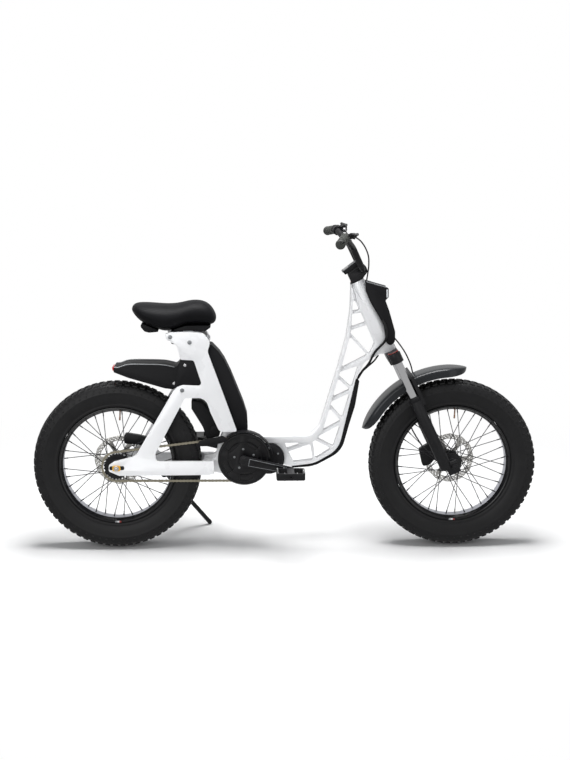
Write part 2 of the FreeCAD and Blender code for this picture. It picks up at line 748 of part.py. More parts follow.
def plate_side(name, side):
    # Cast plate beside the rear wheel. Its front rail and motor lobe step in towards the motor
    host = body(name)
    thick = "Sizes.plate_thick"
    near = {-1: "Sizes.plate_y", 1: "-Sizes.plate_y - Sizes.plate_thick"}[side]
    axle_z = size("tyre_radius")
    face = sketch(host, "side", near)
    outline(face, [
        (178, 779, 4), (194, 786, 10), (266, 786, 20), (312, 782, 30), *PLATE_FRONT, (428, 430, 6),
        (366, 430, 20), (334, 500, 30), (318, 552, 40), (244, 552, 12), (138, 352, 12), (140, 324, 14),
        (346, 324, 6), (346, 275, 20), (10, 274, 14), (-27, 290, 10), (-27, 312, 10), (-8, 325, 8), (14, 330, 16),
        (60, 342, 30), (73, 353, 20), *BRACKET_NOTCH, (218, 740, 20), (182, 760, 12),
    ])
    pad(host, face, thick)
    slot = sketch(host, "side", near)
    half = size("slot_half")
    bore = size("axle_radius") + 0.5
    outline(slot, [
        (-half, axle_z - bore, bore), (half, axle_z - bore, bore), (half, axle_z + bore, bore),
        (-half, axle_z + bore, bore),
    ])
    cut(host, slot, "3 * Sizes.plate_thick", middle=True)
    rail = sketch(host, "side", {-1: "Sizes.rail_y", 1: "-Sizes.plate_y - 2"}[side])
    outline(rail, [
        (326, 708), (361, 613), (424, 436), (396, 436), (332, 604), (297, 700),
    ])
    pad(host, rail, "Sizes.plate_y - Sizes.rail_y + 2")
    step = sketch(host, "side", {-1: "Sizes.rail_y", 1: "-Sizes.plate_y - 2"}[side])
    outline(step, [(306, 276), (345, 276), (345, 323), (306, 323)])
    pad(host, step, "Sizes.plate_y - Sizes.rail_y + 2")
    lobe = sketch(host, "side", {-1: "Sizes.lobe_y", 1: "-Sizes.rail_y - Sizes.lobe_overlap"}[side])
    outline(lobe, [
        (380, 480, 10), (406, 480, 10), (411, 420, 20), (453, 382, 30), (490, 366, 20), (498, 320, 30),
        (470, 272, 20), (420, 262, 30), (345, 277, 10), (308, 277, 4), (308, 322, 4), (350, 326, 20),
        (362, 378, 60), (380, 425, 40),
    ])
    circle(lobe, size("crank_x"), size("crank_z"), 30)
    pad(host, lobe, "Sizes.rail_y - Sizes.lobe_y + Sizes.lobe_overlap")
    keep(host)


def seat_pieces():
    inner = "2 * (Sizes.plate_y - Sizes.fit_gap)"
    host = body("seat_base")
    tongue = sketch(host, "side")
    outline(tongue, [(198, 742, 6), (318, 742, 10), (322, 760, 10), (300, 787), (196, 787, 4)])
    pad(host, tongue, inner, middle=True)
    pan = sketch(host, "side")
    outline(pan, [(196, 786.3, 3), (318, 786.3, 6), (336, 798, 4), (336, 804.7, 2), (250, 804.7, 20), (224, 796.6, 20)])
    pad(host, pan, "Sizes.seat_nose - 20", middle=True)
    keep(host)
    side_slab("seat_bumper", [
        (97, 811.5), (149, 790.1), (153, 782, 3), (120, 779, 10), (104, 783, 12), (91, 798, 8), (90, 806, 3),
    ], "0.48 * Sizes.seat_width")
    seat()


def seat():
    # Bench saddle, high at the front and narrower there
    host = body("seat")
    drawing = sketch(host, "side")
    outline(drawing, [
        (62, 862, 12), (78, 882, 20), (150, 879, 200), (232, 882, 80), (290, 893, 40), (340, 874, 40),
        (358, 832, 24), (348, 805, 16), (250, 805, 20), (224, 797, 20), (190, 788, 20), (160, 786, 20),
        (92, 814, 30), (66, 838, 20),
    ])
    pad(host, drawing, "Sizes.seat_width", middle=True)
    taper = sketch(host, "plan")
    wide = size("seat_width") / 2
    nose = size("seat_nose") / 2
    for side in (-1, 1):
        outline(taper, [
            (200, side * (wide + 5)), (370, side * (wide + 5)), (370, side * (nose - 12)), (320, side * nose, 60),
            (230, side * wide, 60),
        ])
        outline(taper, [
            (40, side * (wide + 5)), (110, side * (wide + 5)), (96, side * (wide - 4), 20),
            (70, side * (wide - 34), 30), (40, side * (wide - 60)),
        ])
    cut(host, taper, "3000", middle=True)
    keep(host)


def battery():
    # Its foot is narrower, between the motor lobes of the two rear plates
    host = side_slab("battery", [
        (300, 690, 10), (324, 733, 12), (338, 737, 10), (366, 708, 20), (384, 681, 20), (406, 635, 60),
        (450, 525, 60), (464, 480, 20), (466, 440, 12), (464, 418, 6), (402, 418, 10), (388, 470, 30),
        (348, 600, 60),
    ], "Sizes.battery_width")
    for offset in ("Sizes.lobe_y - Sizes.fit_gap", "-Sizes.battery_width"):
        notch = sketch(host, "side", offset)
        outline(notch, [(350, 400), (415, 400), (415, 484), (350, 484)])
        cut(host, notch, "Sizes.battery_width - Sizes.lobe_y + Sizes.fit_gap", back=True)
    ribs = sketch(host, "side")
    first, last = Vector(389, 672, 0), Vector(441, 548, 0)
    along = (last - first).normalize()
    outwards = Vector(-along.y, along.x, 0)
    count = int(size("battery_grooves"))
    for i in range(count):
        spot = first + (last - first) * (i / (count - 1))
        corners = (spot - outwards * 2, spot - outwards * 2 + along * 4, spot + outwards * 9 + along * 4,
                   spot + outwards * 9)
        outline(ribs, [(corner.x, corner.y) for corner in corners])
    cut(host, ribs, "0.7 * Sizes.battery_width", middle=True)


def motor():
    host = body("motor")
    drawing = sketch(host, "side")
    drawing.addGeometry(motor_outline(0), False)
    circle(drawing, size("crank_x"), size("crank_z"), 13 + size("fit_gap"))
    pad(host, drawing, "2 * (Sizes.lobe_y - Sizes.fit_gap)", middle=True)
    keep(host)


def rear_fender():
    # Deck over the rear tyre, hollow below, with a bracket that fills the notches of the rear plates
    host = body("rear_fender")
    gap = size("fit_gap")
    deck = sketch(host, "side")
    outline(deck, [
        (-6, 659, 3), (13, 658, 10), (47, 669, 40), (172, 667, 60), (215, 656, 20), (229, 680, 10), (262, 682, 4),
        (262, 604, 4), (238, 602, 20), (203, 579, 6), (172, 583, 30), (109, 602, 60), (47, 620, 60), (-6, 641, 4),
    ])
    pad(host, deck, "Sizes.fender_width", middle=True)
    cheeks = sketch(host, "side")
    outline(cheeks, [
        (205, 583, 4), (215, 593, 10), (238, 599 + gap, 16), (306 - 1.5 * gap, 596 + gap, 10),
        (277 - gap, 686 - gap, 10), (230, 689 - gap, 6), (219, 640, 30),
    ])
    pad(host, cheeks, "2 * (Sizes.plate_y + Sizes.plate_thick - Sizes.bracket_sink)", middle=True)
    well = sketch(host, "side")
    outline(well, [
        (-30, 630), (6, 651), (50, 662, 40), (172, 659, 60), (215, 646, 20), (240, 676, 6), (270, 676, 6),
        (294, 606, 6), (294, 500), (-30, 500),
    ])
    cut(host, well, "Sizes.fender_width - 2 * Sizes.fender_wall", middle=True)
    keep(host)
    side_slab("tail_lamp", [(-14, 655, 2), (-6.3, 657, 1), (-6.3, 642, 1), (-12, 642, 2)], "Sizes.fender_width / 2")


def splash_guard():
    side_slab("splash_guard", [
        (266, 538, 6), (304, 530, 20), (330, 500, 30), (348, 470, 20), (379.7, 470, 4), (379.7, 440, 8), (370, 428, 8), (364, 406, 6),
        (320, 396, 6), (306, 440, 80), (266, 506, 6),
    ], "2 * (Sizes.rail_y - Sizes.fit_gap)")


def caliper(name, frame, points, face):
    # Brake caliper whose slot straddles the rotor, on the left side, with its outer face at a given Y
    slot_low = size("rotor_y") - size("caliper_gap")
    slot_high = size("rotor_y") + size("rotor_thick") + size("caliper_gap")
    inner = slot_low - 8
    flat = Part.Face(Part.Wire([edge.toShape() for edge in rounded(points)]))
    block = flat.extrude(Vector(0, 0, face - inner))
    block.Placement = Placement(Vector(0, face, 0), Rotation(Vector(1, 0, 0), 90))
    reach = size("rotor_radius") + size("caliper_gap")
    slot = rod(Vector(0, slot_low, 0), Vector(0, slot_high, 0), reach)
    shape_of(name, block.cut(slot), frame)


def rear_axle():
    # Axle with its washers and nuts outside the plates
    outer = size("plate_y") + size("plate_thick") + size("fit_gap")
    nut_low = outer + size("washer_thick")
    nut_top = nut_low + size("nut_thick")
    end = nut_top + size("axle_free")
    pin = rod(Vector(0, -end, 0), Vector(0, end, 0), size("axle_radius"))
    pieces_on = []
    for side in (-1, 1):
        washer = rod(Vector(0, side * outer, 0), Vector(0, side * nut_low, 0), 17)
        nut = rod(Vector(0, side * nut_low, 0), Vector(0, side * nut_top, 0), 11)
        pieces_on += [washer, nut]
    shape_of("rear_axle", pin.fuse(pieces_on), REAR_AXLE)


# Steering, in the frame of its axis: Z runs up the head tube and X forward

def fork():
    head = size("head_length")
    gap = 2 * size("fit_gap")
    axle_x, axle_z = in_head(size("wheelbase"), size("tyre_radius"))
    offset = axle_x - size("axle_lead")
    leg_y = size("fork_y")
    crown_top = -head - gap
    crown_low = crown_top - size("crown_height")
    steerer = rod(Vector(0, 0, crown_low), Vector(0, 0, 36), size("steerer_radius"))
    crown = Part.makeBox(46, 2 * leg_y, size("crown_height"), Vector(offset - 26, -leg_y, crown_low))
    parts = [crown]
    legs_top = axle_z + 277
    for side in (-1, 1):
        socket = rod(Vector(offset, side * leg_y, crown_low), Vector(offset, side * leg_y, crown_top), 23)
        stanchion = rod(
            Vector(offset, side * leg_y, axle_z + 60), Vector(offset, side * leg_y, crown_top - 2),
            size("stanchion_radius"),
        )
        parts += [socket, stanchion]
    shape_of("fork_upper", steerer.fuse(parts).removeSplitter(), HEAD)
    lowers = []
    for side in (-1, 1):
        leg = rod(Vector(offset, side * leg_y, axle_z + 6), Vector(offset, side * leg_y, legs_top), size("lower_radius"))
        foot = Part.makeBox(axle_x - offset + 14, 18, 44, Vector(offset, side * leg_y - 9, axle_z - 22))
        lowers += [leg, foot]
    arch_low = axle_z + size("fender_radius") + size("fender_wall") + size("fit_gap")
    arch_x = offset + size("stanchion_radius") + 3
    for side in (-1, 1):
        post = Part.makeBox(12, 20, arch_low + 14 - legs_top + 24, Vector(arch_x, side * leg_y - 10, legs_top - 24))
        lowers.append(post)
    lowers.append(Part.makeBox(12, 2 * leg_y + 20, 14, Vector(arch_x, -leg_y - 10, arch_low)))
    cast = lowers[0].fuse(lowers[1:])
    bores = []
    for side in (-1, 1):
        bores.append(rod(
            Vector(offset, side * leg_y, axle_z + 40), Vector(offset, side * leg_y, legs_top + 5),
            size("stanchion_radius") + size("fit_gap"),
        ))
    bores.append(rod(
        Vector(axle_x, -leg_y - 30, axle_z), Vector(axle_x, leg_y + 30, axle_z),
        size("axle_radius") + size("pin_gap"),
    ))
    shape_of("fork_lowers", cast.cut(bores), HEAD)


def front_axle():
    outer = size("fork_y") + 9
    pin = rod(Vector(0, -outer - 8, 0), Vector(0, outer + 8, 0), size("axle_radius"))
    ends = []
    for side in (-1, 1):
        face = side * (outer + size("fit_gap"))
        ends.append(rod(Vector(0, face, 0), Vector(0, face + side * 6, 0), 11))
    shape_of("front_axle", pin.fuse(ends), FRONT_AXLE)


def front_fender():
    # A channel turned round the axle
    host = body("front_fender")
    inner = size("fender_radius")
    outer = inner + size("fender_wall")
    low = outer - size("fender_skirt")
    half = size("fender_width") / 2
    wall = size("fender_wall")
    drawing = sketch(host, "front")
    outline(drawing, [
        (-half, low), (-half + wall, low), (-half + wall, inner - 6), (-half + wall + 8, inner), (half - wall - 8, inner),
        (half - wall, inner - 6), (half - wall, low), (half, low), (half, outer - 8), (half - 9, outer),
        (-half + 9, outer), (-half, outer - 8),
    ])
    turn(host, drawing, "77", back=True)
    keep(host, FRONT_AXLE * Placement(Vector(), Rotation(Vector(0, 1, 0), 8)))


# Left half of the handlebar, from the stem's clamp to the grip's end, in the frame of the steering axis
BAR_ROUTE = ((33, 0, 34), (33, 60, 34), (33, 90, 122), (20, 190, 172), (17, 236, 178), (-11, 366, 176))
BAR_BEND = 34
BAR_STRAIGHT = (26, 76)


def cockpit():
    clamp = Vector(*BAR_ROUTE[0])
    block = body("stem")
    drawing = sketch(block, "side")
    outline(drawing, [
        (-20, 1, 8), (20, 1, 8), (50, 18, 16), (50, 50, 16), (18, 50, 10), (-20, 42, 8),
    ])
    circle(drawing, clamp.x, clamp.z, size("bar_radius") + size("fit_gap"))
    pad(block, drawing, "52", middle=True)
    bore = sketch(block, "plan")
    circle(bore, 0, 0, size("steerer_radius") + size("fit_gap"))
    cut(block, bore, "74", middle=True)
    keep(block, HEAD)
    route = [Vector(*spot) for spot in BAR_ROUTE]
    half = bent_tube(route, size("bar_radius"), BAR_BEND)
    other = half.mirror(Vector(), Vector(0, 1, 0))
    shape_of("handlebar", half.fuse(other).removeSplitter(), HEAD)
    end = route[-1]
    along = (route[-2] - end).normalize()
    held = []
    for side in (-1, 1):
        tip = Vector(end.x, side * end.y, end.z)
        inward = Vector(along.x, side * along.y, along.z)
        outside = rod(tip - inward * 3, tip + inward * size("grip_length"), size("grip_radius"))
        hole = rod(tip, tip + inward * 2 * size("grip_length"), size("bar_radius") + size("fit_gap"))
        held.append(outside.cut(hole))
    shape_of("grips", Part.makeCompound(held), HEAD)
    side_slab("display", [(-32, 55, 4), (-29, 40.4, 4), (20, 50.7), (28, 53, 4), (26, 67, 4)], "64", HEAD)


def controls():
    # Brake levers with their master cylinders, and a switch box beside the left grip
    route_in = Vector(*BAR_ROUTE[3])
    route_out = Vector(*BAR_ROUTE[4])
    along = (route_out - route_in).normalize()
    solids = []
    for side in (-1, 1):
        clamp_at = route_in + along * 18
        clamp_at.y *= side
        way = Vector(along.x, side * along.y, along.z)
        hole = rod(clamp_at - way * 40, clamp_at + way * 60, size("bar_radius") + size("fit_gap"))
        clamp = rod(clamp_at - way * 8, clamp_at + way * 8, 17)
        tank = rod(clamp_at + Vector(22, 0, -2) - way * 30, clamp_at + Vector(22, 0, -2) + way * 14, 10)
        body_link = rod(clamp_at, clamp_at + Vector(24, 0, -2), 8)
        pivot = clamp_at + Vector(30, 0, -4) + way * 12
        blade = rod(pivot, pivot + way * 46 + Vector(14, 0, -4), 5)
        tip = rod(pivot + way * 46 + Vector(14, 0, -4), pivot + way * 120 + Vector(8, 0, -8), 4.5)
        knee = Part.makeSphere(5, pivot + way * 46 + Vector(14, 0, -4))
        end_ball = Part.makeSphere(5.5, pivot + way * 120 + Vector(8, 0, -8))
        root = Part.makeSphere(9, pivot)
        solids.append(clamp.fuse([tank, body_link, blade, tip, knee, end_ball, root]).cut(hole))
    shape_of("bar_controls", Part.makeCompound(solids), HEAD)


def head_lamp():
    host = body("headlight_housing")
    drawing = sketch(host, "side")
    outline(drawing, [
        (884, 957, 4), (960, 935, 6), (962, 896, 6), (954, 890, 10), (968, 853, 20), (990, 778, 20), (990, 741, 20),
        (974, 728, 10), (958, 738, 20), (950, 799, 40), (930, 835, 60), (903, 879, 60), (884, 924, 30),
    ])
    pad(host, drawing, "Sizes.chord_depth + 8", middle=True)
    seat_bore = host.newObject("PartDesign::SubtractiveCylinder", "head_tube_seat")
    seat_bore.setExpression("Radius", "Sizes.head_radius + Sizes.fit_gap")
    seat_bore.setExpression("Height", "Sizes.head_length * 1.4")
    seat_bore.Placement = HEAD * Placement(Vector(0, 0, -size("head_length") * 1.2), Rotation())
    groove = sketch(host, "side")
    outline(groove, [
        (860, 965), (879, 958), (898, 915), (918, 868), (942, 828), (964, 790), (972, 722), (940, 700), (850, 900),
    ])
    cut(host, groove, "Sizes.chord_depth - 8 + 2 * Sizes.fit_gap", middle=True)
    keep(host)
    side_slab("headlight_lens", [(962.4, 928, 2), (962.4, 902, 2), (966, 904, 2), (966, 926, 2)], "46")


def cable_cover():
    side_slab("cable_cover", [
        (622, 289.6, 3), (704, 299.6, 120), (792.3, 349.6, 90), (818.3, 461.6, 200), (852.3, 605, 60), (866, 600, 6),
        (851, 509, 100), (829, 437, 200), (803, 342, 90), (704, 288, 120), (626, 283, 3),
    ], "Sizes.web_depth - 4")


# Cords, as points of their routes

# Front brake hose, in the frame of the steering axis: down the left of the head, in front of the fork's
# crown and behind the left leg to the caliper
FRONT_HOSE = (
    (41, 177, 169), (44, 146, 158), (46, 120, 132), (44, 104, 92), (36, 92, 44), (24, 84, -8), (14, 79, -62),
    (9, 76, -116), (12, 74, -168), (27, 68, -214), (43, 58, -262), (53, 55, -316), (53, 60, -366), (44, 67, -410),
    (14, 69, -448), (-18, 68.5, -486), (-38, 68, -536), (-42, 65, -592), (-33, 61, -658.6),
)
# Rear brake hose, in the same frame: a loop ahead of the bar into the top of the lamp housing
REAR_HOSE = (
    (41, -177, 169), (52, -148, 160), (66, -120, 138), (73, -94, 106), (72, -70, 70), (58, -46, 34), (42, -25, 6),
    (33, -13, -9.5),
)
# Cable under the lower chord, from the cable cover to the head tube
FRAME_CABLE = ((859.3, 0, 602.75), (866, 0, 621), (892, 0, 645), (919, 0, 668), (933.85, 0, 689.75))


def cord(name, route, radius, frame=BIKE):
    shape_of(name, bent_tube([Vector(*spot) for spot in route], size(radius)), frame)


# Side stand

def ground_height(across):
    # Height of the ground in the upright frame, at a distance to the left of the mid plane
    lean = math.radians(size("lean_angle"))
    return (across * math.sin(lean) + ground_level) / math.cos(lean)


def stand_pieces():
    pivot = Vector(size("stand_x"), size("stand_y"), size("stand_z"))
    out = size("stand_spread") - pivot.y
    lift = size("stand_radius") / math.cos(math.radians(size("lean_angle")))
    drop = pivot.z - ground_height(size("stand_spread")) - lift
    ahead = math.sqrt(size("stand_length") ** 2 - out ** 2 - drop ** 2)
    foot = Vector(pivot.x + ahead, size("stand_spread"), pivot.z - drop)
    down = (foot - pivot).normalize()
    folded = Vector(-math.cos(math.radians(6)), 0, -math.sin(math.radians(6)))
    axis = down.cross(folded).normalize()
    leg = rod(pivot, foot, size("stand_radius"))
    ball = Part.makeSphere(size("stand_radius"), foot)
    eye = rod(pivot - axis * 9, pivot + axis * 9, 13)
    hole = rod(pivot - axis * 20, pivot + axis * 20, 5 + size("pin_gap"))
    shape_of("stand_leg", leg.fuse([ball, eye]).removeSplitter().cut(hole))
    pin = rod(pivot - axis * 20, pivot + axis * 12, 5)
    head = rod(pivot + axis * 10, pivot + axis * 13, 9)
    seat_y = size("plate_y") + size("plate_thick") + size("fit_gap")
    arm = rod(pivot - axis * 22, pivot - axis * 10, 12)
    mount = Part.makeBox(70, 6, 30, Vector(pivot.x - 50, seat_y, 276))
    strap = Part.makeBox(24, 6, 60, Vector(pivot.x - 12, seat_y, pivot.z - 8))
    shape_of("stand_bracket", pin.fuse([head, arm, mount, strap]).removeSplitter())
    return pivot, axis, math.degrees(down.getAngle(folded))


# Building

wheel("rear", REAR_AXLE)
wheel("front", FRONT_AXLE)
toothed("rear_sprocket", "sprocket_teeth", size("hub_radius") + size("fit_gap"), REAR_AXLE)
rear_axle()
chain()
crank_set()
pedal("pedal_right", -1)
pedal("pedal_left", 1)
chain_cover()
front_frame()
plate_side("rear_plate_right", -1)
plate_side("rear_plate_left", 1)
seat_pieces()
battery()
motor()
rear_fender()
splash_guard()
cable_cover()
head_lamp()
fork()
front_axle()
front_fender()
cockpit()
controls()
caliper("rear_caliper", REAR_AXLE, [
    (21, 101, 8), (75, 92, 10), (118, 80, 10), (106, 44, 10), (72, 58, 10), (21, 62, 8),
], size("plate_y") - size("fit_gap"))
caliper("front_caliper", FRONT_AXLE, [
    (-112, 34, 8), (-72, 58, 8), (-34, 30, 8), (-44, 8, 8), (-70, -22, 8), (-97, -30, 8),
], size("fork_y") - size("lower_radius") - size("fit_gap"))
cord("front_brake_hose", FRONT_HOSE, "hose_radius", HEAD)
cord("rear_brake_hose", REAR_HOSE, "hose_radius", HEAD)
cord("frame_cable", FRAME_CABLE, "cable_radius")
doc.recompute()

LEAN = Rotation(Vector(1, 0, 0), -size("lean_angle"))
tyre_leant = doc.getObject("rear_tyre").Shape.copy()
tyre_leant.Placement = Placement(Vector(), LEAN) * REAR_AXLE
ground_level = tyre_leant.optimalBoundingBox(False, False).ZMin
stand_pivot, stand_axis, stand_fold = stand_pieces()
doc.recompute()

faults = [f"{item.Label} {item.State}" for item in doc.Objects if {"Invalid", "Error"} & set(item.State)]
for feature, frame in pieces:
    if feature.Shape.isNull() or not feature.Shape.isValid():
        faults.append(f"{feature.Label} has no valid shape")
if faults:
    raise RuntimeError("; ".join(faults))


# Placing on the floor, leaning on the stand

def leant_box():
    # Box round the whole bike once it leans
    whole = FreeCAD.BoundBox()
    for feature, frame in pieces:
        copy = feature.Shape.copy()
        copy.Placement = Placement(Vector(), LEAN) * frame
        whole.add(copy.optimalBoundingBox(False, False))
    return whole


box = leant_box()
LEANT = Placement(Vector(-box.Center.x, -box.Center.y, -box.ZMin), LEAN)
for feature, frame in pieces:
    feature.Placement = LEANT * frame
doc.recompute()

for old in os.listdir("parts"):
    os.remove(os.path.join("parts", old))
for feature, frame in pieces:
    feature.Shape.exportStep(f"parts/{feature.Label}.step")
print(f"{len(pieces)} pieces, {box.XLength:.1f} x {box.YLength:.1f} x {box.ZLength:.1f} mm")
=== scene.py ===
import json
import math

import bmesh
import bpy
import numpy as np
from mathutils import Matrix, Vector


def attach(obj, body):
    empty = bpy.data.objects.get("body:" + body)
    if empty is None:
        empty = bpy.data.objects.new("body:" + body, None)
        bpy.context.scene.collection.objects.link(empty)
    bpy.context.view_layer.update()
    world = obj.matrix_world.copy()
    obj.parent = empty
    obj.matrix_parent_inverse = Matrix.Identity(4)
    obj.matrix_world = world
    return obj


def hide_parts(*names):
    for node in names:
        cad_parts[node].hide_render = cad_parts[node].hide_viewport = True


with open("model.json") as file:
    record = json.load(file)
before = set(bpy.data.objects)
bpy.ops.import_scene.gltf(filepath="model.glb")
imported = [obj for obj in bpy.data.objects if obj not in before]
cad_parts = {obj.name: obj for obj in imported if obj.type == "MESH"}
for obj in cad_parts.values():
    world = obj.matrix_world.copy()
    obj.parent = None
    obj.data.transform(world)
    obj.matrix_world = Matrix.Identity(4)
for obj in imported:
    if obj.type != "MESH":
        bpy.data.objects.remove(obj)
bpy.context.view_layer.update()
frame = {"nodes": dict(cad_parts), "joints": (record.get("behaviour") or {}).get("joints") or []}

MM = 0.001
SIDES = (-1, 1)


# Frames: the bike upright, its steering axis and its axles, as the CAD places them

TYRE_RADIUS = 301
WHEELBASE = 1202
CRANK_SPOT = (453, 327)
CRANK_ANGLE = 12
HEAD_TOP = (855, 955)
HEAD_ANGLE = 25


def shift(x=0, y=0, z=0):
    return Matrix.Translation(Vector((x, y, z)) * MM)


def turned(degrees, axis="Y"):
    return Matrix.Rotation(math.radians(degrees), 4, axis)


def put(matrix, point):
    # A point in millimetres in one of the frames, as the scene's point in metres
    return matrix @ (Vector(point) * MM)


rear_spin = {joint["name"]: joint for joint in frame["joints"]}["rear_wheel_spin"]
ahead = Vector((1, 0, 0))
across = Vector(rear_spin["axis"]).normalized()
upward = ahead.cross(across)
BIKE = Matrix((ahead, across, upward)).transposed().to_4x4()
BIKE.translation = Vector(rear_spin["pos_m"]) - upward * TYRE_RADIUS * MM
HEAD = BIKE @ shift(HEAD_TOP[0], 0, HEAD_TOP[1]) @ turned(-HEAD_ANGLE)
AXLES = {"rear": BIKE @ shift(0, 0, TYRE_RADIUS), "front": BIKE @ shift(WHEELBASE, 0, TYRE_RADIUS)}
CRANK = BIKE @ shift(CRANK_SPOT[0], 0, CRANK_SPOT[1]) @ turned(CRANK_ANGLE)


# Node trees

def add(tree, kind, inputs=None, **settings):
    # A node with its settings. What an input gets is a socket to link or a plain value
    node = tree.nodes.new(kind)
    for name, value in settings.items():
        setattr(node, name, value)
    for name, value in (inputs or {}).items():
        if isinstance(value, bpy.types.NodeSocket):
            tree.links.new(value, node.inputs[name])
        else:
            node.inputs[name].default_value = value
    return node


def new_tree(name, given, made=None):
    # A shader group with number outputs or, where no output is named, a geometry tree.
    # given holds each input's default number, or else its type
    tree = bpy.data.node_groups.new(name, "ShaderNodeTree" if made else "GeometryNodeTree")
    if not made:
        given = {"Geometry": "Geometry", **given}
    for label, value in given.items():
        typed = isinstance(value, str)
        sort = value if typed else type(value).__name__.title()
        socket = tree.interface.new_socket(label, in_out="INPUT", socket_type="NodeSocket" + sort)
        if not typed:
            socket.default_value = value
    for label in made or ["Geometry"]:
        tree.interface.new_socket(label, in_out="OUTPUT",
                                  socket_type="NodeSocketFloat" if made else "NodeSocketGeometry")
    return tree, tree.nodes.new("NodeGroupInput").outputs, tree.nodes.new("NodeGroupOutput")


def maths(tree, operation, first, second=0.0, third=0.0):
    return add(tree, "ShaderNodeMath", {0: first, 1: second, 2: third}, operation=operation).outputs[0]


def ranged(tree, value, low, high, bottom=0.0, top=1.0, kind="LINEAR"):
    return add(tree, "ShaderNodeMapRange", {
        "Value": value, "From Min": low, "From Max": high, "To Min": bottom, "To Max": top},
        interpolation_type=kind).outputs[0]


def place_in(tree):
    return add(tree, "ShaderNodeTexCoord").outputs["Object"]


def noise(tree, scale, detail, roughness=0.5):
    return add(tree, "ShaderNodeTexNoise", {
        "Vector": place_in(tree), "Scale": scale, "Detail": detail, "Roughness": roughness}).outputs


# Effects that several finishes share

def build_grain():
    # Two scales of noise: Tone goes to a colour or roughness, Height to a bump
    tree, given, out = new_tree("grain", {"Scale": 400.0, "Patches": 12.0}, ["Tone", "Height"])
    tone = add(tree, "ShaderNodeClamp", {"Value": noise(tree, given["Patches"], 4.0)["Fac"]})
    tree.links.new(tone.outputs[0], out.inputs["Tone"])
    tree.links.new(noise(tree, given["Scale"], 3.0)["Fac"], out.inputs["Height"])
    return tree


def build_pebble():
    # Leather grain: cells with fine creases between them
    tree, given, out = new_tree("pebble", {"Scale": 700.0, "Crease": 0.2}, ["Height"])
    sway = 0.0016
    moved = add(tree, "ShaderNodeVectorMath", {
        0: noise(tree, 220.0, 2.0)["Color"], 1: (sway, sway, sway), 2: place_in(tree)},
        operation="MULTIPLY_ADD")
    cells = add(tree, "ShaderNodeTexVoronoi", {"Vector": moved.outputs[0], "Scale": given["Scale"]},
                feature="DISTANCE_TO_EDGE")
    raised = ranged(tree, cells.outputs["Distance"], 0.0, given["Crease"], kind="SMOOTHSTEP")
    tree.links.new(raised, out.inputs["Height"])
    return tree


def build_dust():
    # Dust that lies more on faces that look up
    tree, given, out = new_tree("dust", {"Amount": 0.2}, ["Mask"])
    normal = add(tree, "ShaderNodeNewGeometry").outputs["Normal"]
    level = add(tree, "ShaderNodeSeparateXYZ", {0: normal}).outputs["Z"]
    both = maths(tree, "MULTIPLY", ranged(tree, level, -0.2, 1.0, 0.15),
                 ranged(tree, noise(tree, 90.0, 5.0, 0.65)["Fac"], 0.4, 0.75))
    tree.links.new(maths(tree, "MULTIPLY", both, given["Amount"]), out.inputs["Mask"])
    return tree


GRAIN, PEBBLE, DUST = build_grain(), build_pebble(), build_dust()
DUST_COLOUR = (0.34, 0.33, 0.31)


# Finishes

def emptied(owner):
    owner.use_nodes = True
    owner.node_tree.nodes.clear()
    return owner.node_tree


class Finish:
    """A material whose Principled shader reads the shared grain for its colour, roughness and bump."""

    def __init__(self, name, dark, light, rough, scale, bump=0.05, patches=14.0, dust=0.0, **shader):
        self.material = bpy.data.materials.new(name)
        self.tree = emptied(self.material)
        self.shader = add(self.tree, "ShaderNodeBsdfPrincipled")
        add(self.tree, "ShaderNodeOutputMaterial", {"Surface": self.shader.outputs[0]})
        for socket, value in shader.items():
            self.shader.inputs[socket.replace("_", " ")].default_value = value
        grain = self.group(GRAIN, {"Scale": scale, "Patches": patches})
        self.colour = self.mix(grain["Tone"], dark, light)
        if dust:
            self.colour = self.mix(self.group(DUST, {"Amount": dust})["Mask"], self.colour, DUST_COLOUR)
        self.set("Base Color", self.colour)
        self.set("Roughness", ranged(self.tree, grain["Tone"], 0.0, 1.0, *rough))
        self.bumped(grain["Height"], bump, 0.0004)

    def group(self, tree, inputs):
        return add(self.tree, "ShaderNodeGroup", inputs, node_tree=tree).outputs

    def mix(self, factor, *colours):
        first, second = (item if isinstance(item, bpy.types.NodeSocket) else (*item, 1) for item in colours)
        return add(self.tree, "ShaderNodeMix", {0: factor, 6: first, 7: second}, data_type="RGBA").outputs[2]

    def set(self, socket, value):
        self.tree.links.new(value, self.shader.inputs[socket])

    def bumped(self, height, strength, distance):
        # A bump over the one that the shader has already
        inputs = {"Height": height, "Strength": strength, "Distance": distance}
        links = self.shader.inputs["Normal"].links
        if links:
            inputs["Normal"] = links[0].from_socket
        self.set("Normal", add(self.tree, "ShaderNodeBump", inputs).outputs[0])


def metal(*looks, **more):
    return Finish(*looks, Metallic=1.0, **more)


# Name, darker and lighter colour, range of roughness, scale of the grain, strength of its bump

